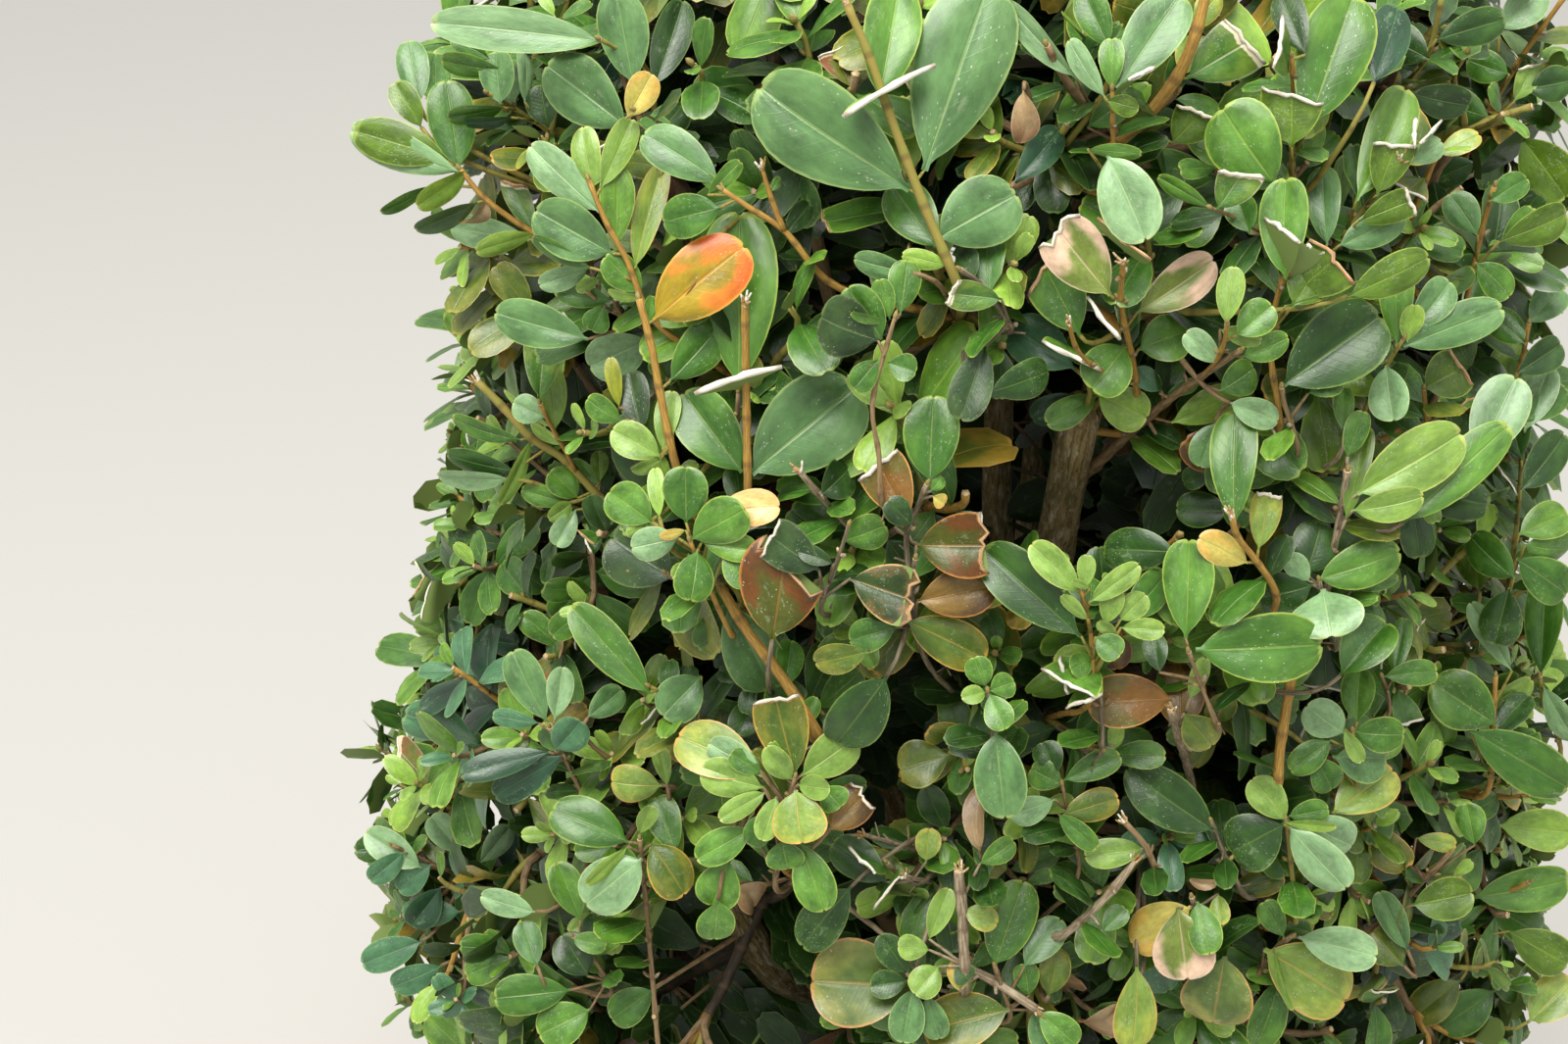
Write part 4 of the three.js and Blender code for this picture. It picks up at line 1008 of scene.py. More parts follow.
    (5, [(1520, 800), (1522, 760), (1526, 690)], 6, 5, 0, [
        (1527, 739, 1463, 699, 60, 3, 2, 6), (1543, 684, 1499, 617, 25, 28, 1, 20), (1510, 603, 1500, 551, 40, 31, -2),
        (1500, 745, 1606, 806, 56, 2, -2)], []),
    (4, [(1592, 760), (1576, 720), (1571, 690)], 5, 4, 1, [
        (1572, 689, 1577, 591, 37, 2, 1), (1585, 563, 1550, 462, 31, 28, 2), (1575, 700, 1606, 760, 28, 28, 2, 20)], []),
    (2, [(1395, 950), (1430, 920), (1480, 870)], 7, 5, 2, [
        (1441, 923, 1504, 911, 44, 31, 1), (1436, 969, 1409, 909, 29, 19, 2), (1432, 985, 1400, 950, 44, 9, -3),
        (1445, 855, 1488, 862, 20, 24, 2), (1505, 862, 1497, 820, 30, 18, 1)], []),
]


# stems that the shears have left with a torn, bleached end
FRAYED = [(760, 306), (487, 389), (777, 170), (1146, 268), (1430, 165), (864, 4), (978, 888), (1195, 724), (815, 480),
          (1090, 328), (1058, 1030), (1158, 878), (1257, 527), (1147, 838), (880, 851), (922, 894)]


# stems that can be followed with nothing in front, by the place of their tips
BARE = [(864, 4), (652, 305), (760, 306), (487, 389), (735, 598), (1257, 527), (1195, 724), (978, 888), (1232, -12),
        (738, 194), (777, 170), (601, 184), (470, 173), (1102, 602), (913, 324), (1147, 838), (1158, 878),
        (1266, 357), (1058, 1030), (1318, 690), (880, 851), (922, 894)]


# stems whose inner end is known: its distance along the view, by the place of the tip
ROOT_DEPTH = {(1266, 357): 533.0, (1146, 268): 515.0, (1195, 724): 545.0, (735, 598): 507.0, (760, 306): 491.0,
              (978, 888): 527.0, (1257, 527): 496.0, (880, 851): 546.0, (922, 894): 550.0}


# side stems and the stems that they spring from, by the places of their tips
JOINED = {(1090, 328): (1146, 268), (1252, 330): (1266, 357), (777, 170): (738, 194), (551, 412): (487, 389)}


def stand(points, lift):
    """A stem in the photographed frame, and how far along the view its leaves and it itself lie."""
    pts = np.array(points, float)
    tip = skin_depth(*pts[-1]) - lift
    foot = None
    if tuple(points[-1]) in JOINED:
        line = hero_lines[[tuple(s[1][-1]) for s in SPRAYS].index(JOINED[tuple(points[-1])])][0]
        w = np.linspace(0, len(line) - 1, 90)
        x, y, d = to_pixel(np.stack([np.interp(w, np.arange(len(line)), line[:, j]) for j in range(3)], 1))
        at = int(np.argmin(np.hypot(x - pts[0, 0], y - pts[0, 1])))
        pts[0], foot = (x[at], y[at]), d[at]
    # the inner end lies deeper than the tip
    run = np.concatenate([[0], np.cumsum(np.hypot(*np.diff(pts, axis=0).T))])
    share = 1 - run / run[-1]
    depth = tip + 3.0 * share**1.5 + 0.045 * run[-1] * share
    own = depth
    if foot is not None:
        depth = own = tip + (foot - tip) * share
    elif tuple(points[-1]) in ROOT_DEPTH:
        depth = own = tip + (max(ROOT_DEPTH[tuple(points[-1])], tip + 4) - tip) * share**0.9
    elif tuple(points[-1]) not in BARE:
        own = tip + 0.3 + (2.5 + 0.12 * run[-1]) * share**0.65
    return pts, depth, own


rng = np.random.default_rng(2024)
placed, placed_rims = [], []
hero_lines = []  # (points (k, 3), r0, r1, tint)
stub_lines = []
loose_lines = []
for lift, stem, half0, half1, wood_tint, leaf_rows, rim_rows in SPRAYS:
    pts, depth, own = stand(stem, lift)
    fine = np.linspace(0, len(pts) - 1, 12 * (len(pts) - 1) + 1)
    flat = np.stack([np.interp(fine, np.arange(len(pts)), pts[:, k]) for k in range(2)], 1)
    along = np.interp(fine, np.arange(len(pts)), depth)
    inner = np.interp(fine, np.arange(len(pts)), own)
    scale = FOCAL_PX / depth.mean()
    thin = (0.76 - 0.016 * half0) * (1.0 if tuple(stem[-1]) in BARE else 0.82)
    hero_lines.append((from_pixel(pts[:, 0], pts[:, 1], own), half0 * thin / scale, half1 * thin / scale, wood_tint))

    def root_at(x, y):
        gap = np.hypot(flat[:, 0] - x, flat[:, 1] - y)
        k = int(np.argmin(gap))
        # a side stalk leaves the stem lower down than the leaf stands
        apart = gap[k] + (inner[k] - along[k]) / 0.24
        back = max(0, k - int(0.9 * apart / max(np.hypot(*(flat[1] - flat[0])), 1)))
        carrier = from_pixel(flat[back, 0], flat[back, 1], inner[back])
        return from_pixel(x, y, along[k] + 0.03 * gap[k]), carrier, gap[k], along[k] + 0.03 * gap[k]

    for row in leaf_rows:
        bx, by, tx, ty, wide, tint = row[:6]
        tilt = row[6] if len(row) > 6 else rng.uniform(-1, 2.5)
        roll = row[7] if len(row) > 7 else rng.uniform(-8, 20)
        cut = row[8] if len(row) > 8 else 1.0
        base, carrier, gap, d0 = root_at(bx, by)
        tip = from_pixel(tx, ty, d0 - tilt)
        axis = unit(tip - base)
        toward = unit(CAM_PLACE - base)
        face = unit(toward - dot(toward, axis) * axis)
        # turn about the axis, the side nearer the sky going back
        side = np.cross(axis, face)
        sign = -1.0 if side[2] > 0 else 1.0
        a = math.radians(roll) * sign
        face = unit(face * math.cos(a) + side * math.sin(a))
        length = np.linalg.norm(tip - base) / min(cut, 1.0)
        width = wide / (FOCAL_PX / d0) / max(0.35, math.cos(a))
        narrow = wide / max(np.hypot(tx - bx, ty - by), 1)
        placed.append(dict(
            place=base, along=axis, face=face, length=length, width=width, low=0.6 + 0.16 * rng.random(),
            high=0.4 + 0.1 * rng.random(), fold=0.18 + 0.3 * rng.random(), dome=0.14 + 0.22 * rng.random(),
            bend=0.08 + 0.34 * rng.random(), twist=rng.normal() * 0.16, sway=rng.normal() * 0.025, cut=cut,
            slope=rng.normal() * 0.1 if cut < 1 else 0.0, curl=0.3 + 0.7 * rng.random() if cut < 1 else 0.0,
            tile=tint + 32 * int(rng.integers(0, 2)), dry=1.0 if tint in (12, 13, 30) else 0.0,
            seed=rng.random() * 6.28, grade=-1 if length * width > 60 else 0,
            rough=3.5 if tint in (12, 22, 23, 27) else 1.0, rim=1.3,
        ))
        if tint in (13, 30):
            placed[-1].update(fold=0.9, bend=0.9, twist=0.8)
        if gap > 38:
            loose_lines.append((base, axis, wood_tint))
        elif gap > 9 or np.linalg.norm(carrier - base) > 2.0:
            stub_lines.append((carrier, base, wood_tint))
    for ax, ay, bx, by, cx, cy, tint in rim_rows:
        base, carrier, gap, d0 = root_at(cx, cy)
        a3, b3 = from_pixel(ax, ay, d0 - 5.0), from_pixel(bx, by, d0 - 5.0)
        middle = (a3 + b3) / 2
        base = base + VIEW_FORWARD * 3.0
        axis = unit(middle - base)
        across = unit((b3 - a3) - dot(b3 - a3, axis) * axis)
        face = np.cross(across, axis)
        if face[2] < 0:
            face = -face
        placed.append(dict(
            place=base, along=axis, face=face, length=np.linalg.norm(middle - base) / 0.55,
            width=np.linalg.norm(b3 - a3) * 1.02, low=0.6, high=0.5, fold=0.12, dome=0.1, bend=0.1, twist=0.0, sway=0.0,
            cut=0.55, slope=0.0, curl=0.0, tile=tint, dry=0.0, seed=rng.random() * 6.28, grade=0, rough=2.2,
            rim=2.4 if np.hypot(bx - ax, by - ay) > 85 else 1.0 + 0.01 * np.hypot(bx - ax, by - ay),
        ))

grown = []
for k, (points, r0, r1, _) in enumerate(hero_lines):
    total = np.linalg.norm(np.diff(points, axis=0), axis=1).sum()
    bare = tuple(SPRAYS[k][1][-1]) in BARE
    for w in np.arange(0.08, 0.4 if bare else 0.75, 5.5 / max(total, 8)):
        q = np.array([np.interp(w * (len(points) - 1), np.arange(len(points)), points[:, j]) for j in range(3)])
        tan = unit(points[-1] - points[0])
        turn = unit(np.cross(tan, rng.normal(size=3)))
        for sign in (1, -1):
            d = unit(tan * (0.1 + 0.5 * rng.random()) + turn * sign + [0, 0, 0.1])
            face = unit(np.cross(np.cross(d, tan + up), d) + rng.normal(size=3) * 0.2)
            face = unit(face - dot(face, d) * d)
            length = 10 + 8 * rng.random()
            grown.append(dict(
                place=q + VIEW_FORWARD * 0.5, along=d, face=face, length=length, width=length / (1.6 + 0.4 * rng.random()),
                low=0.65 + 0.15 * rng.random(), high=0.5, fold=0.3 + 0.3 * rng.random(), dome=0.35, bend=0.1 + 0.4 * rng.random(),
                twist=rng.normal() * 0.2, sway=0.0, cut=1.0, slope=0.0, curl=0.0, rough=1.0, rim=1.0, dry=0.0,
                tile=int(rng.choice([0, 1, 2, 3, 6, 9], p=[0.2, 0.24, 0.24, 0.18, 0.08, 0.06])) + 32 * int(rng.integers(0, 2)),
                seed=rng.random() * 6.28, grade=1,
            ))
stem_foliage = Leaves(**{
    n: np.array([q.get(n, 0 if n != "owner" else -1) for q in grown]) for n in Leaves.NAMES if n != "cell"
})
stem_foliage.cell = cell_of(stem_foliage.place - HEART).astype(float)

hero_leaves = Leaves(**{
    n: np.array([q.get(n, 0 if n != "owner" else -1) for q in placed]) for n in Leaves.NAMES if n != "cell"
})
hero_leaves.cell = cell_of(hero_leaves.place - HEART).astype(float)
print("placed leaves", len(hero_leaves), "sprays", len(SPRAYS))

# a coarse picture of what stands in front, so that the grown foliage leaves it open
COARSE = 4.0
front = np.full((int(1065 / COARSE) + 2, int(1600 / COARSE) + 2), 1e9)
gy, gx = np.meshgrid(np.arange(front.shape[0]) * COARSE, np.arange(front.shape[1]) * COARSE, indexing="ij")
for k in range(len(hero_leaves)):
    base = hero_leaves.place[k]
    reach = hero_leaves.length[k] * min(1.0, hero_leaves.cut[k])
    tip = base + hero_leaves.along[k] * reach
    (x0, y0, d0), (x1, y1, d1) = to_pixel(base), to_pixel(tip)
    long = max(np.hypot(x1 - x0, y1 - y0) / 2, 3.0)
    ux, uy = (x1 - x0) / (2 * long), (y1 - y0) / (2 * long)
    across = np.cross(hero_leaves.along[k], hero_leaves.face[k])
    xa, ya, _ = to_pixel((base + tip) / 2 + across * hero_leaves.width[k] / 2)
    cx, cy = (x0 + x1) / 2, (y0 + y1) / 2
    half = max(np.hypot(xa - cx, ya - cy), 3.0)
    s = ((gx - cx) * ux + (gy - cy) * uy) / long
    t = (-(gx - cx) * uy + (gy - cy) * ux) / half
    inside = (np.abs(s) < 1) & (np.abs(t) < 0.95 * np.sqrt(np.clip(1 - np.abs(s) ** 2.4, 0, 1)))
    front = np.where(inside, np.minimum(front, (d0 + d1) / 2), front)


for k, (points, r0, r1, _) in enumerate(hero_lines):
    if tuple(SPRAYS[k][1][-1]) not in BARE:
        continue
    for w in np.linspace(0.2, 1.0, 16):
        q = np.array([np.interp(w * (len(points) - 1), np.arange(len(points)), points[:, k]) for k in range(3)])
        x, y, d = to_pixel(q)
        near = np.hypot(gx - x, gy - y) < r1 * FOCAL_PX / d + 5
        front = np.where(near, np.minimum(front, d), front)


# dark openings of the side that shows, with wood deep inside: middle and half
# sizes in the photographed frame, and how far in they are open (mm)
OPENINGS = [
    (720, 988, 54, 80, 90), (800, 1025, 42, 46, 90), (1112, 500, 66, 62, 95), (1046, 500, 34, 40, 45),
    (905, 735, 24, 32, 40), (1264, 800, 24, 30, 50),
]
OPENING_SKIN = [skin_depth(float(o[0]), float(o[1])) for o in OPENINGS]


def in_opening(p):
    x, y, depth = to_pixel(p)
    hit = np.zeros(len(depth), bool)
    for (cx, cy, rx, ry, deep), skin in zip(OPENINGS, OPENING_SKIN):
        hit |= (((x - cx) / rx) ** 2 + ((y - cy) / ry) ** 2 < 1) & (depth < skin + deep)
    return hit


def hides(p, spare):
    """True where a point would stand in front of a placed leaf."""
    x, y, depth = to_pixel(p)
    i = np.clip((y / COARSE).round().astype(int), 0, front.shape[0] - 1)
    j = np.clip((x / COARSE).round().astype(int), 0, front.shape[1] - 1)
    inside = (x >= 0) & (x < 1600) & (y >= 0) & (y < 1065)
    return inside & (depth < front[i, j] + spare) & (front[i, j] < 1e8)


def leaf_hides(a, spare=4.0):
    side = np.cross(a.along, a.face) * (a.width / 2)[:, None]
    middle = a.place + a.along * (a.length * 0.5)[:, None]
    total = np.zeros(len(a))
    for q in (a.place + a.along * (a.length * 0.2)[:, None], middle, a.place + a.along * (a.length * 0.92)[:, None],
              middle + side * 0.8, middle - side * 0.8):
        total += hides(q, spare) | in_opening(q)
    return total >= 1


t = np.linspace(0.25, 1, 9)
line, _ = bezier(shoot_control, t)
blocking = np.array([hides(line[:, k], 2.0) | in_opening(line[:, k]) for k in range(len(t))]).sum(0)
KEEP_SHOOT = blocking < 2

# older leaves, thinner on the ground, along the twigs behind the shoots
rng = np.random.default_rng(552)


def twig_leaves(control, rng, large=1.0):
    n = len(control)
    parts = []
    for k, t in enumerate(np.linspace(0.22, 0.97, 7)):
        p, tan = bezier(control, np.array([t]))
        p, tan = p[:, 0], tan[:, 0]
        ref = unit(np.cross(tan, [[0.3, 0.2, 1.0]]))
        other = np.cross(tan, ref)
        for sign in (1, -1):
            m = np.nonzero(rng.random(n) < 0.8)[0]
            angle = k * np.pi / 2 + rng.normal(size=len(m)) * 0.5
            side = ref[m] * np.cos(angle)[:, None] + other[m] * np.sin(angle)[:, None]
            d = unit(tan[m] * 0.25 + side * sign + [0, 0, -0.12])
            face = up + rng.normal(size=(len(m), 3)) * 0.35
            face = unit(face - dot(face, d) * d)
            length = large * (12 + 8 * rng.random(len(m)))
            r = rng.random(len(m))
            tint = np.where(r < 0.52, 0, np.where(r < 0.66, 5, np.where(r < 0.86, 1, np.where(r < 0.91, 9, np.where(
                r < 0.94, 10, np.where(r < 0.97, 13, 30))))))
            parts.append(Leaves(
                place=p[m], along=d, face=face, length=length, width=length / (1.6 + 0.4 * rng.random(len(m))),
                bend=0.2 + 0.6 * rng.random(len(m)), fold=0.15 + 0.3 * rng.random(len(m)),
                tile=tint + 32 * rng.integers(0, 2, len(m)), cell=cell_of(p[m] - HEART), grade=2,
                seed=rng.random(len(m)) * 6.28,
            ))
    return Leaves.join(parts)


old_foliage = twig_leaves(twig_control, rng)
inner_foliage = Leaves.join([twig_leaves(sub_control, rng, 1.0 + 0.1 * k) for k in range(9)])
foliage = Leaves.join([shoot_foliage, old_foliage, inner_foliage, stem_foliage])
owner = foliage.owner.astype(int)
foliage = foliage.pick(((owner < 0) | KEEP_SHOOT[np.maximum(owner, 0)]) & ~leaf_hides(foliage))


def keep_out(a):
    """Drops leaves that would stand in a hollow, in the soil or through the pot's rim."""
    tip = a.place + a.along * a.length[:, None]
    ok = hollow_clear(a.place * 0.4 + tip * 0.6 - HEART) > -0.035
    for q in (tip, (tip + a.place) / 2):
        reach = np.hypot(q[:, 0], q[:, 1])
        ok &= ~((q[:, 2] < POT_HEIGHT + 3) & (reach < POT_RIM + 3))
        ok &= q[:, 2] > SKIRT + 1
    return ok


foliage = Leaves.join([foliage.pick(keep_out(foliage)), hero_leaves])


def bough_points(k):
    end = BOUGH_END[k]
    out = np.array([end[0], end[1], 0.0])
    away = max(np.linalg.norm(out), 1)
    start = STEM_TOP + [out[0] / away * 5, out[1] / away * 5, -5 - 2 * (k % 4)]
    climb = end[2] - STEM_TOP[2]
    bend = start + [out[0] * 0.42, out[1] * 0.42, climb * 0.38 + 9 * math.sin(2.1 * k)]
    kink = np.array([out[0] * 0.78 + 5 * math.sin(3.7 * k), out[1] * 0.78 + 5 * math.cos(2.9 * k),
                     STEM_TOP[2] + climb * 0.74])
    return [start, bend, kink, end]


def leaf_spots(a, fine=False):
    """Points spread over each leaf."""
    side = np.cross(a.along, a.face)
    spots = []
    coarse_rows = ((0.12, 0.5), (0.32, 0.9), (0.52, 1.0), (0.72, 0.9), (0.9, 0.55))
    fine_rows = [(t, math.sqrt(math.sin(math.pi * t))) for t in np.linspace(0.06, 0.94, 10)]
    for t, w in fine_rows if fine else coarse_rows:
        for s in (-0.72, -0.36, 0.0, 0.36, 0.72) if fine else (-0.6, 0.0, 0.6):
            spots.append(a.place + a.along * (a.length * np.minimum(a.cut, 1) * t)[:, None]
                         + side * (a.width / 2 * w * s)[:, None])
    return np.concatenate(spots)


def sight_views():
    """The photographed view as None, and level, raised and straight-down views as pairs of axes."""
    yield None
    for tilt, bearings in ((6, range(0, 360, 30)), (14, range(15, 375, 30)), (35, range(0, 360, 60)),
                           (65, (0, 90, 180, 270)), (88, (0,))):
        for turn in bearings:
            a, e = math.radians(turn + tilt), math.radians(tilt)
            forward = np.array([-math.sin(a) * math.cos(e), math.cos(a) * math.cos(e), -math.sin(e)])
            right = np.array([math.cos(a), math.sin(a), 0.0])
            yield right, np.cross(right, forward), forward


def sight_cell(view, p):
    if view is None:
        x, y, _ = to_pixel(p)
        x, y = x / 9, y / 9
    else:
        x, y = p @ view[0] / 3.6, p @ view[1] / 3.6
    return np.clip(np.floor(np.stack([x, y], 1)).astype(int) + 130, 0, 319)


rng = np.random.default_rng(61)
wood_spots = np.concatenate(
    [bezier(sub_control, np.linspace(0, 1, 14))[0].reshape(-1, 3), bezier(twig_control, np.linspace(0, 0.8, 5))[0].reshape(-1, 3)]
    + [catmull(bough_points(k))[0](np.linspace(0.3, 1, 12)) for k in range(len(CELLS))])
wood_spots = wood_spots[(hollow_clear(wood_spots - HEART) > 0.03) & (wood_spots[:, 2] > 250) & ~in_opening(wood_spots)]
filler, filler_twigs = [], []


def fill(start, way, first, last, rng, reach=60):
    """Sets one leaf across a line of sight, on near wood where it stands clear."""
    rel = wood_spots - start
    deep = rel @ way
    off = np.linalg.norm(rel - deep[:, None] * way, axis=1) + np.where((deep < first) | (deep > last), 500, 0)
    order = np.argsort(off)
    for k in rng.permutation(order[:5]).tolist() + order[5:14].tolist():
        if off[k] > reach:
            break
        foot, spot = wood_spots[k], start + way * deep[k]
        gap = spot - foot
        out = unit(gap) if off[k] > 2 else unit(np.cross(way, rng.normal(size=3)))
        length = 16 + 8 * rng.random()
        base = foot if off[k] < 9 else spot - out * length * 0.5
        face = unit(-way + rng.normal(size=3) * 0.3)
        face = unit(face - dot(face, out) * out)
        leaf = Leaves(
            place=base[None], along=out[None], face=face[None], length=np.array([length]),
            width=length * (0.55 + 0.1 * rng.random()), bend=0.2 + 0.3 * rng.random(),
            tile=float(rng.choice([0, 1, 5], p=[0.55, 0.3, 0.15]) + 32 * rng.integers(0, 2)),
            cell=cell_of((base - HEART)[None]), grade=2, seed=rng.random() * 6.28)
        if keep_out(leaf)[0] and not in_opening(base[None] + out * length * 0.5)[0]:
            if off[k] >= 9:
                filler_twigs.append([foot, foot * 0.7 + base * 0.3 + [0, 0, 1.5], foot * 0.3 + base * 0.7 + [0, 0, 1.5], base])
            filler.append(leaf)
            return leaf
    return None


covered_by = leaf_spots(foliage)
for view in sight_views():
    seen_cells = np.zeros((320, 320), bool)
    for spots in [leaf_spots(foliage, True) if view is None else covered_by] + ([leaf_spots(Leaves.join(filler))] if filler else []):
        at = sight_cell(view, spots)
        seen_cells[at[:, 0], at[:, 1]] = True
    gx_, gy_ = np.nonzero(~seen_cells)
    middle = np.stack([gx_ - 129.5, gy_ - 129.5], 1)
    if view is None:
        keep = (middle[:, 0] > 0) & (middle[:, 0] * 9 < 1600) & (middle[:, 1] > 0) & (middle[:, 1] * 9 < 1065)
        middle = middle[keep] * 9
        keep = front[(middle[:, 1] / COARSE).round().astype(int), (middle[:, 0] / COARSE).round().astype(int)] > 1e8
        middle = middle[keep]
        start = np.broadcast_to(CAM_PLACE, (len(middle), 3))
        way = unit(from_pixel(middle[:, 0], middle[:, 1], np.full(len(middle), 500.0)) - CAM_PLACE)
        steps = np.arange(380.0, 860.0, 10.0)
    else:
        high = HEART @ view[1]
        keep = (np.abs(middle[:, 0]) * 3.6 < 200) & (np.abs(middle[:, 1] * 3.6 - high) < 300)
        middle = middle[keep] * 3.6
        start = middle[:, :1] * view[0] + middle[:, 1:] * view[1] + (HEART @ view[2] - 320) * view[2]
        way = np.broadcast_to(view[2], start.shape)
        steps = np.arange(0.0, 640.0, 10.0)
    line = start[:, None] + way[:, None] * steps[None, :, None]
    bearing = np.degrees(np.arctan2(line[..., 0], -line[..., 1]))
    inside = (np.hypot(line[..., 0], line[..., 1]) < outline(bearing, line[..., 2]) - 12) & (line[..., 2] > 238)
    for i in np.nonzero(inside.sum(1) >= 9)[0]:
        at = sight_cell(view, line[i, :1])[0] if view is not None else None
        if view is None:
            at = np.floor(middle[i] / 9).astype(int) + 130
        if seen_cells[at[0], at[1]]:
            continue
        run = steps[inside[i]]
        first, last = run[0] + 0.28 * (run[-1] - run[0]), run[0] + 0.9 * (run[-1] - run[0])
        leaf = fill(start[i], way[i], first, last, rng)
        if leaf is not None:
            at = sight_cell(view, leaf_spots(leaf, view is None))
            seen_cells[at[:, 0], at[:, 1]] = True

# the last small gaps of the side that shows, by their places in the photographed frame
PLUGS = [
    (1153, 526), (932, 689), (590, 396), (605, 50), (620, 68), (660, 62), (688, 82), (1372, 126), (1390, 129), (1382, 1047),
    (1495, 64), (1470, 219), (1463, 61), (1505, 187), (1518, 354), (1500, 534), (1534, 537), (1531, 521), (1520, 1009),
    (1528, 1036), (1530, 834), (1550, 829), (1543, 84), (1540, 156), (1562, 352), (1577, 436), (1560, 560), (1583, 560),
    (1555, 38), (1583, 138), (525, 374), (965, 759), (972, 757),
]
rng = np.random.default_rng(404)
for x, y in PLUGS:
    way = unit(from_pixel(np.array([float(x)]), np.array([float(y)]), np.array([500.0]))[0] - CAM_PLACE)
    steps = np.arange(380.0, 900.0, 5.0)
    line = CAM_PLACE + way * steps[:, None]
    bearing = np.degrees(np.arctan2(line[:, 0], -line[:, 1]))
    run = steps[(np.hypot(line[:, 0], line[:, 1]) < outline(bearing, line[:, 2]) - 6) & (line[:, 2] > 238)]
    if len(run):
        fill(CAM_PLACE, way, run[0] + 0.1 * (run[-1] - run[0]), run[-1] + 1, rng, 90)
filler = Leaves.join(filler)
print("filling leaves", len(filler), "with twigs", len(filler_twigs))
foliage = Leaves.join([foliage, filler])
print("leaves", len(foliage), "fine", int((foliage.grade == 0).sum()), "mid", int((foliage.grade == 1).sum()),
      "far", int((foliage.grade == 2).sum()))


# ------------------------------------------------------------------- materials
def srgb(r, g, b, a=1.0):
    """Colour given in display bytes, as linear."""
    f = lambda c: c / 12.92 if c <= 0.04045 else ((c + 0.055) / 1.055) ** 2.4
    return (f(r / 255), f(g / 255), f(b / 255), a)


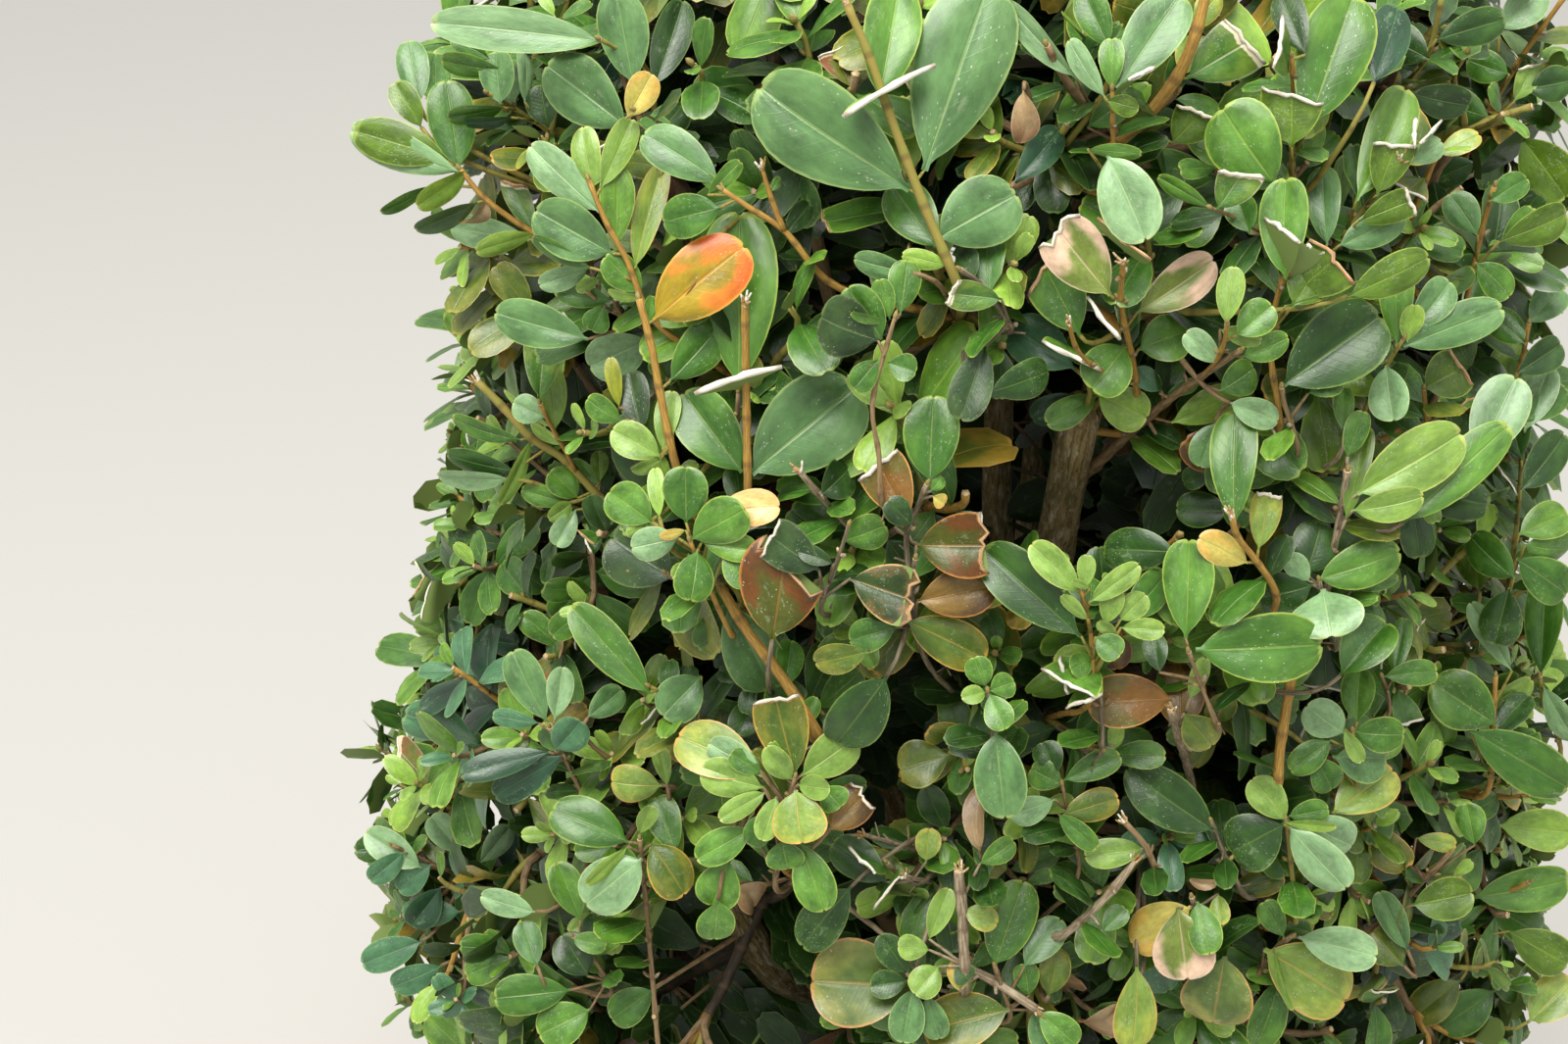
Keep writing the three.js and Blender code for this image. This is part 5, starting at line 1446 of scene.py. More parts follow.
class Graph:
    """A small shorthand for building a node material."""

    def __init__(self, name, roughness=0.5, base=None, specular=0.5):
        self.material = bpy.data.materials.new(name)
        self.material.use_nodes = True
        tree = self.material.node_tree
        self.nodes, self.links = tree.nodes, tree.links
        self.nodes.clear()
        self.out = self.nodes.new("ShaderNodeOutputMaterial")
        self.shader = self.nodes.new("ShaderNodeBsdfPrincipled")
        self.links.new(self.shader.outputs["BSDF"], self.out.inputs["Surface"])
        self.shader.inputs["Roughness"].default_value = roughness
        self.shader.inputs["Specular IOR Level"].default_value = specular
        if base is not None:
            self.shader.inputs["Base Color"].default_value = base
            self.material.diffuse_color = base

    def put(self, socket, value):
        if isinstance(value, bpy.types.NodeSocket):
            self.links.new(value, socket)
        elif value is not None:
            socket.default_value = value

    def math(self, op, a, b=None, c=None, clamp=False):
        n = self.nodes.new("ShaderNodeMath")
        n.operation, n.use_clamp = op, clamp
        for k, v in enumerate((a, b, c)):
            self.put(n.inputs[k], v)
        return n.outputs[0]

    def step(self, x, low, high, a=0.0, b=1.0):
        n = self.nodes.new("ShaderNodeMapRange")
        n.interpolation_type = "SMOOTHSTEP"
        for k, v in enumerate((x, low, high, a, b)):
            self.put(n.inputs[k], v)
        return n.outputs[0]

    def mix(self, fac, a, b, blend="MIX"):
        n = self.nodes.new("ShaderNodeMix")
        n.data_type, n.blend_type = "RGBA", blend
        n.clamp_factor = True
        self.put(n.inputs[0], fac)
        self.put(n.inputs[6], a)
        self.put(n.inputs[7], b)
        return n.outputs[2]

    def noise(self, vector, scale, detail=3.0, rough=0.55, dims="3D"):
        n = self.nodes.new("ShaderNodeTexNoise")
        n.noise_dimensions = dims
        self.put(n.inputs["Vector"], vector)
        n.inputs["Scale"].default_value = scale
        n.inputs["Detail"].default_value = detail
        n.inputs["Roughness"].default_value = rough
        return n.outputs["Fac"]

    def cells(self, vector, scale, feature="F1", rand=1.0, output="Distance"):
        n = self.nodes.new("ShaderNodeTexVoronoi")
        n.feature = feature
        self.put(n.inputs["Vector"], vector)
        n.inputs["Scale"].default_value = scale
        n.inputs["Randomness"].default_value = rand
        return n.outputs[output]

    def combine(self, x=0.0, y=0.0, z=0.0):
        n = self.nodes.new("ShaderNodeCombineXYZ")
        for k, v in enumerate((x, y, z)):
            self.put(n.inputs[k], v)
        return n.outputs[0]

    def split(self, vector):
        n = self.nodes.new("ShaderNodeSeparateXYZ")
        self.put(n.inputs[0], vector)
        return n.outputs

    def vector(self, op, a, b=None):
        n = self.nodes.new("ShaderNodeVectorMath")
        n.operation = op
        self.put(n.inputs[0], a)
        if b is not None:
            self.put(n.inputs[1], b)
        return n.outputs[0]

    def ramp(self, fac, stops, mode="CONSTANT"):
        n = self.nodes.new("ShaderNodeValToRGB")
        n.color_ramp.interpolation = mode
        el = n.color_ramp.elements
        while len(el) > 1:
            el.remove(el[-1])
        el[0].position, el[0].color = stops[0]
        for pos, colour in stops[1:]:
            e = el.new(pos)
            e.color = colour
        self.put(n.inputs[0], fac)
        return n.outputs[0], n.outputs[1]

    def bump(self, height, strength, distance, normal=None):
        n = self.nodes.new("ShaderNodeBump")
        n.inputs["Strength"].default_value = strength
        n.inputs["Distance"].default_value = distance
        self.put(n.inputs["Height"], height)
        if normal is not None:
            self.links.new(normal, n.inputs["Normal"])
        return n.outputs[0]

    def place(self):
        return self.nodes.new("ShaderNodeTexCoord").outputs["Object"]

    def uv(self, name="OFBake"):
        n = self.nodes.new("ShaderNodeUVMap")
        n.uv_map = name
        return n.outputs[0]

    def finish(self, colour=None, roughness=None, normal=None):
        if colour is not None:
            self.links.new(colour, self.shader.inputs["Base Color"])
        if roughness is not None:
            self.links.new(roughness, self.shader.inputs["Roughness"])
        if normal is not None:
            self.links.new(normal, self.shader.inputs["Normal"])
        return self.material

    def tile(self, uv):
        """Tile number's tint as 0..1, and the place inside the tile."""
        scaled = self.vector("MULTIPLY", uv, (TILES, TILES, 1))
        whole = self.vector("FLOOR", scaled)
        local = self.vector("FRACTION", scaled)
        wx, wy, _ = self.split(whole)
        lx, ly, _ = self.split(local)
        band = self.math("MODULO", wy, 4.0)
        tint = self.math("MULTIPLY_ADD", band, 8.0, wx)
        tint = self.math("MULTIPLY_ADD", tint, 1 / 32, 0.5 / 32)
        u = self.math("MULTIPLY_ADD", lx, 1 / 0.92, -0.04 / 0.92, clamp=True)
        v = self.math("MULTIPLY_ADD", ly, 1 / 0.92, -0.04 / 0.92, clamp=True)
        return tint, u, v, scaled


def by_tint(colours):
    return [(k / 32, c) for k, c in enumerate(colours)]


# name, face of the leaf, second colour (mottle and far end) with how far it takes
# over, and margin with how plain it shows
LEAF_TINTS = [
    # dark, dark, middle, middle
    ((32, 60, 18), (54, 84, 32, 0.35), (112, 134, 62, 0.5)),
    ((38, 72, 22), (64, 98, 34, 0.35), (126, 148, 66, 0.55)),
    ((58, 102, 30), (84, 120, 42, 0.4), (146, 166, 74, 0.65)),
    ((64, 108, 32), (92, 128, 42, 0.4), (160, 176, 78, 0.7)),
    # bluish, dark bluish, light, yellow-green
    ((70, 114, 78), (84, 128, 84, 0.4), (140, 168, 106, 0.55)),
    ((34, 68, 44), (50, 84, 50, 0.35), (106, 136, 82, 0.45)),
    ((88, 130, 40), (112, 148, 50, 0.4), (172, 186, 88, 0.7)),
    ((132, 170, 64), (150, 178, 72, 0.45), (198, 204, 108, 0.7)),
    # new growth, olive, yellowing, orange
    ((116, 150, 62), (136, 164, 74, 0.45), (194, 198, 108, 0.6)),
    ((82, 104, 30), (122, 122, 44, 0.6), (166, 156, 70, 0.7)),
    ((112, 122, 40), (176, 142, 54, 0.8), (204, 162, 76, 0.9)),
    ((160, 136, 30), (234, 112, 44, 1.0), (214, 168, 70, 0.8)),
    # brown, dry, cut green, cut and browned
    ((122, 94, 34), (72, 50, 22, 0.95), (178, 120, 56, 0.8)),
    ((162, 136, 98), (140, 100, 66, 0.8), (200, 170, 130, 0.7)),
    ((66, 108, 34), (108, 128, 46, 0.6), (214, 204, 176, 0.95)),
    ((100, 108, 36), (120, 70, 34, 0.95), (210, 190, 160, 0.95)),
    # peach, pale yellow, bright middle, painted bluish sheen
    ((244, 206, 136), (240, 148, 78, 0.8), (244, 176, 110, 0.8)),
    ((184, 172, 82), (190, 146, 66, 0.7), (214, 186, 112, 0.7)),
    ((80, 124, 42), (104, 146, 54, 0.45), (166, 184, 80, 0.7)),
    ((82, 120, 68), (104, 140, 84, 0.5), (160, 182, 106, 0.6)),
    # dull with an orange rim, dark and spotted, green going tan, green going brown
    ((74, 98, 25), (122, 120, 42, 0.7), (204, 158, 68, 0.8)),
    ((40, 66, 30), (62, 84, 40, 0.5), (120, 134, 74, 0.4)),
    ((42, 64, 18), (106, 80, 38, 0.95), (202, 162, 104, 0.8)),
    ((70, 76, 6), (90, 50, 2, 1.0), (172, 114, 50, 0.85)),
    # yellow-green with an orange rim, large and dull, orange going green, green going papery
    ((122, 150, 62), (166, 168, 66, 0.6), (208, 158, 84, 0.8)),
    ((84, 106, 46), (136, 134, 62, 0.7), (190, 134, 82, 0.75)),
    ((128, 88, 32), (92, 88, 32, 0.85), (204, 146, 76, 0.9)),
    ((112, 130, 52), (206, 174, 148, 1.0), (216, 190, 160, 0.8)),
    # pale bluish with a painted sheen, yellow, dead brown, lit through as painted light
    ((122, 158, 108), (142, 174, 126, 0.5), (182, 200, 134, 0.6)),
    ((132, 140, 30), (158, 158, 44, 0.6), (196, 190, 74, 0.6)),
    ((104, 76, 54), (80, 58, 42, 0.8), (146, 114, 84, 0.6)),
    ((78, 108, 22), (100, 128, 36, 0.5), (164, 180, 70, 0.6)),
]


def leaf_material():
    g = Graph("leaf_upper_side", roughness=0.33, specular=0.5)
    tint, lu, v, scaled = g.tile(g.uv())
    u = g.math("ABSOLUTE", g.math("MULTIPLY_ADD", lu, 2.0, -1.0))
    base, _ = g.ramp(tint, by_tint([srgb(*t[0]) for t in LEAF_TINTS]))
    second, second_amount = g.ramp(tint, by_tint([srgb(*t[1][:3], t[1][3]) for t in LEAF_TINTS]))
    margin, margin_amount = g.ramp(tint, by_tint([srgb(*t[2][:3], t[2][3]) for t in LEAF_TINTS]))
    broad = g.noise(scaled, 2.6, 2.0, 0.5, "2D")
    fine = g.noise(scaled, 13.0, 3.0, 0.6, "2D")
    # the far end and the rims change colour first
    far = g.math("MULTIPLY_ADD", v, 0.62, g.math("MULTIPLY", u, 0.34))
    far = g.math("ADD", far, g.math("MULTIPLY_ADD", broad, 0.9, -0.45))
    turned = g.math("MULTIPLY", g.step(far, 0.42, 0.78), second_amount)
    colour = g.mix(turned, base, second)
    # uneven green, darker away from the midrib
    shade = g.math("MULTIPLY_ADD", fine, 0.62, g.math("MULTIPLY_ADD", broad, 0.95, 0.215))
    shade = g.math("SUBTRACT", shade, g.math("MULTIPLY", g.step(u, 0.1, 0.8), 0.08))
    colour = g.mix(1.0, colour, g.combine(shade, shade, shade), "MULTIPLY")
    # side veins, faint, and the midrib
    slant = g.math("SUBTRACT", v, g.math("MULTIPLY", u, 0.24))
    ribs = g.math("PINGPONG", g.math("MULTIPLY", slant, 11.0), 0.5)
    vein = g.math("MULTIPLY", g.step(ribs, 0.42, 0.5), g.step(u, 0.95, 0.5))
    pale = g.mix(0.45, margin, second)
    colour = g.mix(g.math("MULTIPLY", vein, 0.05), colour, pale)
    mid = g.step(u, 0.06, 0.015)
    colour = g.mix(g.math("MULTIPLY", mid, g.math("MULTIPLY_ADD", v, -0.35, 0.6)), colour, pale)
    # pale rim round the leaf, and the end where it is sheared
    edge = g.step(g.math("ADD", u, g.math("MULTIPLY_ADD", fine, 0.06, -0.03)), 0.915, 0.985)
    edge = g.math("MULTIPLY", edge, g.step(v, 0.02, 0.12))
    cut_tile = g.math("MULTIPLY", g.step(tint, 0.435, 0.44), g.step(tint, 0.5, 0.495))
    edge = g.math("MULTIPLY", edge, g.math("MULTIPLY_ADD", cut_tile, -0.7, 1.0))
    end = g.math("ADD", v, g.math("MULTIPLY_ADD", fine, 0.05, -0.025))
    end = g.step(g.math("ADD", end, g.math("MULTIPLY", cut_tile, 0.05)), 0.945, 0.975)
    edge = g.math("MAXIMUM", edge, end)
    colour = g.mix(g.math("MULTIPLY", edge, margin_amount), colour, margin)
    # small pale specks of dust and hard water
    dots = g.cells(scaled, 19.0)
    some = g.step(g.noise(scaled, 2.1, 1.0, 0.5, "2D"), 0.44, 0.6)
    speck = g.math("MULTIPLY", g.step(dots, 0.17, 0.08), some)
    colour = g.mix(g.math("MULTIPLY", speck, 0.6), colour, srgb(206, 212, 196))
    # thin dried film in wandering streaks
    film = g.math("MULTIPLY", g.step(g.noise(scaled, 7.0, 4.0, 0.72, "2D"), 0.56, 0.7), some)
    colour = g.mix(g.math("MULTIPLY", film, 0.2), colour, srgb(176, 188, 158))
    height = g.math("MULTIPLY_ADD", mid, -0.9, g.math("MULTIPLY", vein, 0.1))
    height = g.math("MULTIPLY_ADD", fine, 0.35, height)
    normal = g.bump(height, 0.55, 0.00028)
    g.material.diffuse_color = srgb(70, 112, 48)
    return g.finish(colour, None, normal)


MAT_LEAF = leaf_material()
MAT_UNDER = Graph("leaf_underside", roughness=0.55, base=srgb(118, 138, 74), specular=0.35).material
MAT_DRY_UNDER = Graph("dry_leaf_underside", roughness=0.8, base=srgb(160, 112, 64), specular=0.2).material

# tints of wood: young ochre, young olive, tan, grey-tan, dark, cut wood, dead, bud
WOOD_TINTS = [
    ((180, 144, 66), (150, 110, 54)), ((134, 136, 60), (152, 130, 66)),
    ((146, 122, 86), (112, 90, 64)), ((138, 126, 102), (92, 80, 60)),
    ((84, 66, 44), (56, 44, 30)), ((216, 196, 156), (176, 140, 92)),
    ((176, 160, 134), (130, 112, 88)), ((164, 148, 88), (120, 102, 58)),
    # the shorn ends of leaves, bleached and browned
    ((240, 236, 226), (214, 198, 168)), ((212, 182, 140), (158, 110, 66)),
    # painted shade: the tint for wood deep inside, darkened
    ((62, 50, 36), (42, 34, 25)),
] + [((0, 0, 0), (0, 0, 0))] * 21


def wood_material():
    g = Graph("twig_bark", roughness=0.62, specular=0.35)
    tint, u, v, scaled = g.tile(g.uv())
    base, _ = g.ramp(tint, by_tint([srgb(*t[0]) for t in WOOD_TINTS]))
    dark, _ = g.ramp(tint, by_tint([srgb(*t[1]) for t in WOOD_TINTS]))
    around = g.math("MULTIPLY", u, 2 * math.pi)
    ring = g.combine(g.math("COSINE", around), g.math("SINE", around), g.math("MULTIPLY", v, 1.2))
    ring = g.vector("ADD", ring, g.combine(g.math("MULTIPLY", tint, 40.0), 0.0, 0.0))
    streak = g.noise(ring, 2.6, 3.0, 0.6)
    fine = g.noise(ring, 9.0, 3.0, 0.6)
    colour = g.mix(g.step(streak, 0.4, 0.62), base, dark)
    shade = g.math("MULTIPLY_ADD", fine, 0.5, 0.75)
    colour = g.mix(1.0, colour, g.combine(shade, shade, shade), "MULTIPLY")
    # the ring of the leaf scar where a pair stood
    near = g.math("MINIMUM", v, g.math("SUBTRACT", 1.0, v))
    scar = g.step(near, 0.1, 0.02)
    colour = g.mix(g.math("MULTIPLY", scar, 0.5), colour, srgb(96, 74, 44))
    normal = g.bump(g.math("ADD", streak, g.math("MULTIPLY", fine, 0.5)), 0.6, 0.0003)
    g.material.diffuse_color = srgb(140, 112, 70)
    return g.finish(colour, None, normal)


MAT_TWIG = wood_material()


def bark_material(name="old_bark", gain=1.0):
    """Old wood: long flaking ridges, grey-tan over brown, following the limb."""
    g = Graph(name, roughness=0.82, specular=0.25 * gain)
    u, v, _ = g.split(g.uv("Limb"))
    around = g.math("MULTIPLY", u, 2 * math.pi)
    ring = g.combine(g.math("COSINE", around), g.math("SINE", around), v)
    long = g.vector("MULTIPLY", ring, (1.0, 1.0, 1.15))
    streak = g.noise(long, 2.3, 4.0, 0.6)
    plates = g.vector("MULTIPLY", g.vector("ADD", ring, g.combine(streak, streak, streak)), (1.3, 1.3, 0.42))
    crack = g.cells(plates, 1.9, "DISTANCE_TO_EDGE")
    fine = g.noise(g.place(), 420.0, 3.0, 0.65)
    colour, _ = g.ramp(streak, [
        (0.0, srgb(104, 88, 50)), (0.38, srgb(148, 126, 76)), (0.52, srgb(178, 156, 112)), (0.68, srgb(222, 208, 178)),
    ], "LINEAR")
    colour = g.mix(g.math("MULTIPLY", g.step(crack, 0.09, 0.0), 0.5), colour, srgb(70, 55, 36))
    # a gain below one darkens the whole bark and dulls its gloss: painted shade
    shade = g.math("MULTIPLY_ADD", fine, 0.6 * gain, 0.7 * gain)
    colour = g.mix(1.0, colour, g.combine(shade, shade, shade), "MULTIPLY")
    # a little green film on the shaded wood
    film = g.step(g.noise(g.place(), 45.0, 3.0, 0.6), 0.52, 0.7)
    colour = g.mix(g.math("MULTIPLY", film, 0.35 * gain), colour, srgb(96, 104, 62))
    height = g.math("MULTIPLY_ADD", g.step(crack, 0.0, 0.16), 0.8, g.math("MULTIPLY", fine, 0.4))
    height = g.math("ADD", height, streak)
    normal = g.bump(height, 0.7, 0.0009)
    g.material.diffuse_color = srgb(120, 100, 72)
    return g.finish(colour, None, normal)


MAT_BARK = bark_material()
# the same bark at gain 0.36, darker all over: painted shade for the limb in the low hollow
MAT_PAINTED_SHADE_BARK = bark_material("old_bark_painted_shade", 0.36)


# ------------------------------------------------------------- foliage pieces
# painted shade: leaves that show deep inside the openings take the dark tints 0 and 21
px, py, depth = to_pixel(foliage.place + foliage.along * (foliage.length * 0.5)[:, None])
kind = foliage.tile % 32
for cx, cy, rx, ry, past in ((750, 985, 105, 105, 26), (1080, 500, 115, 90, 34)):
    inside = (np.hypot((px - cx) / rx, (py - cy) / ry) < 1) & (depth > skin_depth(float(cx), float(cy)) + past)
    painted_shade_tint = np.where(np.arange(len(kind)) % 2, 0, 21)
    foliage.tile = np.where(inside & (kind > 1), foliage.tile - kind + painted_shade_tint, foliage.tile)
for c, (short, _, _) in enumerate(CELLS):
    soup = Soup()
    mine = foliage.pick(foliage.cell == c)
    add_leaves(soup, mine.pick(mine.grade < 0), ROWS_LARGE, COLS_LARGE, True)
    add_leaves(soup, mine.pick(mine.grade == 0), ROWS_FINE, COLS_FINE, True)
    add_leaves(soup, mine.pick(mine.grade == 1), ROWS_MID, COLS_MID, True)
    add_leaves(soup, mine.pick(mine.grade == 2), ROWS_FAR, COLS_FAR, False)
    add_leaves(soup, mine.pick(mine.grade == 3), ROWS_BACK, COLS_FAR, True)
    obj = soup.build("leaves_" + short, [MAT_LEAF, MAT_UNDER, MAT_DRY_UNDER, MAT_TWIG])
    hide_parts("foliage_" + short)

# ----------------------------------------------------------------- twig pieces
rng = np.random.default_rng(77)


def wood(soup, control, r0, r1, rings, sides, tint, cap=None, knots=0.16, nodes=None):
    n = len(control)
    if not n:
        return
    t = np.linspace(0, 1, rings)
    pts, _ = bezier(control, t)
    radii = r0[:, None] + (r1 - r0)[:, None] * t[None] ** 0.8
    bumpy = 1 + knots * (np.arange(rings) % 2 == 0)[None] * (0.6 + 0.8 * rng.random((n, rings)))
    radii = radii * bumpy
    tile = tint + 32 * rng.integers(0, 2, n)
    s = (np.arange(rings - 1) % 2) * 0.5
    along = np.broadcast_to(np.stack([s, s + 0.5], 1)[None], (n, rings - 1, 2))
    tubes(soup, pts, radii, sides, tile, along, 0, None if cap is None else cap + 0 * tile)


def wobble(control, amount, rng):
    out = control.copy()
    out[:, 1:3] += rng.normal(size=out[:, 1:3].shape) * amount
    return out


def painted_shade_inside(control, tint):
    """Wood that crosses the low opening takes the dark tint 10, painted shade."""
    p, _ = bezier(control, np.linspace(0, 1, 9))
    x, y, depth = to_pixel(p.reshape(-1, 3))
    hit = (np.hypot((x - 742) / 105, (y - 995) / 115) < 1) & (depth > skin_depth(748.0, 985.0) + 10)
    return np.where(hit.reshape(len(control), -1).any(1), 10, tint)


soup = Soup()
n = len(sub_control)
wood(soup, wobble(sub_control, 3.0, rng), 3.3 + 0.5 * rng.random(n), 2.1 + 0.3 * rng.random(n), 13, 8,
     painted_shade_inside(sub_control, rng.choice([2, 3, 4], n, p=[0.25, 0.35, 0.4])))
n = len(twig_control)
wood(soup, wobble(twig_control, 1.8, rng), 1.9 + 0.4 * rng.random(n), 1.25 + 0.2 * rng.random(n), 9, 6,
     painted_shade_inside(twig_control, rng.choice([2, 3, 4, 6], n, p=[0.32, 0.28, 0.3, 0.1])))
n = len(filler_twigs)
wood(soup, np.array(filler_twigs), np.full(n, 0.8), np.full(n, 0.5), 4, 4, rng.choice([2, 3], n))
obj = soup.build("twigs_old_wood", [MAT_TWIG])

soup = Soup()
young = rng.choice([0, 1, 2], len(shoot_control), p=[0.16, 0.48, 0.36])
near = SEEN
for mask, rings, sides in ((near & KEEP_SHOOT, 9, 5), (~near & KEEP_SHOOT, 5, 4)):
    m = np.nonzero(mask)[0]
    r0 = 0.95 + 0.3 * vigour[m]
    r1 = np.where(shear[m], 0.8, 0.6) * (0.8 + 0.3 * vigour[m])
    wood(soup, shoot_control[m], r0, r1, rings, sides, young[m], cap=5, knots=0.2)
bough_line = []
for _, _, _, points in SHOWN_BOUGHS:
    place, _ = catmull([STEM_TOP + [0, 0, -6]] + points)
    bough_line.append(place(np.linspace(0.35, 0.97, 18)))
inner_nodes = np.concatenate([twig_control[:, 3], sub_control[:, 3]] + bough_line)


def link(foot, lead):
    """A curved twig's control points from the best placed older wood to a foot that leads outward."""
    off = inner_nodes - foot
    far = np.linalg.norm(off, axis=1)
    back = -(unit(off) @ unit(lead - 1.1 * VIEW_FORWARD))
    deep = off @ VIEW_FORWARD
    node = inner_nodes[int(np.argmin(far * (2.3 - 1.3 * back) + np.where(deep < 6, 70, 0)))]
    span = np.linalg.norm(foot - node)
    return np.array([[node, node + unit(foot - node) * span * 0.3, foot - lead * span * 0.28, foot]])


def smooth_line(points, count):
    place, length = catmull(points)
    return place(np.linspace(0, 1, count)), length


splinters, joints = [], []
joint_rng = np.random.default_rng(77)
for spray, (points, r0, r1, tint) in zip(SPRAYS, hero_lines):
    foot = points[0]
    joint, _ = bezier(link(foot, unit(points[1] - points[0])), np.array([0.0, 0.3, 0.6, 0.85]))
    whole = points if tuple(spray[1][-1]) in JOINED else np.concatenate([joint[0], points])
    reach = np.linalg.norm(np.diff(whole, axis=0), axis=1).sum()
    rings = max(9, int(reach / 2.7))
    line, length = smooth_line(whole, rings)
    t = np.linspace(0, 1, rings)
    radius = r0 * 1.1 + (r1 - r0 * 1.1) * t
    radius = radius * (1 + (0.16 if tuple(spray[1][-1]) in BARE else 0.24) * (np.arange(rings) % 4 == 0))
    if tuple(spray[1][-1]) not in BARE:
        # pairs of buds and old scales at the joints that show, each pair a quarter turn on
        hidden = np.linalg.norm(np.diff(whole[:len(whole) - len(points) + 1], axis=0), axis=1).sum() / reach
        turn = unit(np.cross(line[-1] - line[0], joint_rng.normal(size=3)))
        for k in range(4, rings - 2, 4):
            lead = unit(line[k + 1] - line[k - 1])
            turn = unit(np.cross(lead, turn))
            if k < hidden * rings - 2 or joint_rng.random() < 0.15:
                continue
            for side in (turn, -turn):
                joints.append((line[k] + side * radius[k] * 0.75, unit(side * 0.8 + lead * (0.5 + 0.5 * joint_rng.random())),
                               1.2 + 1.5 * joint_rng.random(), 0.34 + 0.26 * joint_rng.random() + 0.15 * radius[k],
                               int(joint_rng.choice([7, 2, 6, 5], p=[0.3, 0.3, 0.25, 0.15]))))
    if tint in (2, 3, 6):
        radius = radius * (1 + 0.3 * (rng.random(rings) - 0.4))
        # spurs where side twigs broke off
        for w in rng.random(4) * 0.6 + 0.35:
            k = int(w * (rings - 2))
            way = unit(np.cross(line[k + 1] - line[k], rng.normal(size=3)) + 0.9 * unit(line[k + 1] - line[k]))
            size = 1.6 + 2.2 * rng.random()
            control = np.array([[line[k], line[k] + way * size * 0.4, line[k] + way * size * 0.8, line[k] + way * (size + radius[k])]])
            wood(soup, control, np.array([radius[k] * 0.5]), np.array([radius[k] * 0.3]), 4, 6, np.array([tint]))
    s = (np.arange(rings - 1) % 4) * 0.25
    tubes(soup, line[None], radius[None], 8, np.array([tint + 32 * (rings % 2)]), np.stack([s, s + 0.25], 1)[None], 0,
          np.array([5]))
    splinters.append((line[-1], unit(line[-1] - line[-2]), r1))
# the torn ends of shorn stems
for where in FRAYED:
    at = np.array([np.hypot(*(np.array(to_pixel(q[0])[:2]) - where)) for q in splinters])
    tip, lead, r = splinters[int(np.argmin(at))]
    spread = unit(lead + rng.normal(size=(7, 3)) * 0.42)
    size = 1.3 + 1.9 * rng.random(7)
    root = tip - lead * 0.6 + unit(np.cross(spread, lead)) * r * 0.5
    control = np.stack([root, root + spread * (size * 0.35)[:, None], root + spread * (size * 0.7)[:, None],
                        root + (spread + lead * 0.25) * size[:, None]], 1)
    wood(soup, control, np.full(7, 0.42), np.full(7, 0.18), 4, 5, rng.choice([8, 9, 5, 0], 7))
for carrier, base, tint in stub_lines:
    control = np.array([[carrier, carrier * 0.7 + base * 0.3, carrier * 0.3 + base * 0.7, base]])
    wood(soup, control, np.array([0.42]), np.array([0.3]), 4, 5, np.array([1 if tint == 0 else tint]))
for base, axis, tint in loose_lines:
    wood(soup, link(base, axis), np.array([0.9]), np.array([0.45]), 9, 6, np.array([1 if tint == 0 else tint]))
obj = soup.build("shoots_young_wood", [MAT_TWIG])

# buds at the tips and in the axils of the shoots that show
soup = Soup()


def buds(soup, place, along, length, radius, tile, rng):
    n = len(place)
    if not n:
        return
    t = np.array([0, 0.35, 0.7, 1.0])
    pts = place[:, None] + along[:, None] * (t[None, :, None] * length[:, None, None])
    shape = np.array([0.55, 1.0, 0.85, 0.14])
    tubes(soup, pts, radius[:, None] * shape[None], 5, tile)


p, tan = bezier(shoot_control, np.array([1.0]))
m = np.nonzero((rng.random(len(p)) < 0.4) & ~shear & KEEP_SHOOT)[0]
buds(soup, p[m, 0] - tan[m, 0] * 0.4, unit(tan[m, 0] + rng.normal(size=(len(m), 3)) * 0.1),
     2.2 + 1.4 * rng.random(len(m)), 0.75 + 0.35 * rng.random(len(m)), 7 + 32 * rng.integers(0, 2, len(m)), rng)
for tip, lead, r in splinters:
    if all(np.hypot(*(np.array(to_pixel(tip)[:2]) - w)) > 6 for w in FRAYED):
        buds(soup, tip[None] - lead[None] * 0.5, lead[None], np.array([2.4]), np.array([max(0.6, r * 0.9)]), np.array([7]), rng)
for k in range(1, 5):
    at = shoot_nodes[:, k] if shoot_nodes.shape[1] > k else None
    m = np.nonzero((at > 0) & SEEN & KEEP_SHOOT & (rng.random(len(at)) < 0.22))[0]
    p, tan = bezier(shoot_control[m], at[m][:, None])
    side = unit(np.cross(tan[:, 0], rng.normal(size=(len(m), 3))))
    buds(soup, p[:, 0] + side * 0.6, unit(tan[:, 0] + side * 0.8), 1.6 + 0.9 * rng.random(len(m)),
         0.55 + 0.2 * rng.random(len(m)), 7 + 32 * rng.integers(0, 2, len(m)), rng)
buds(soup, *[np.array(q) for q in zip(*joints)], rng)
obj = soup.build("buds", [MAT_TWIG])


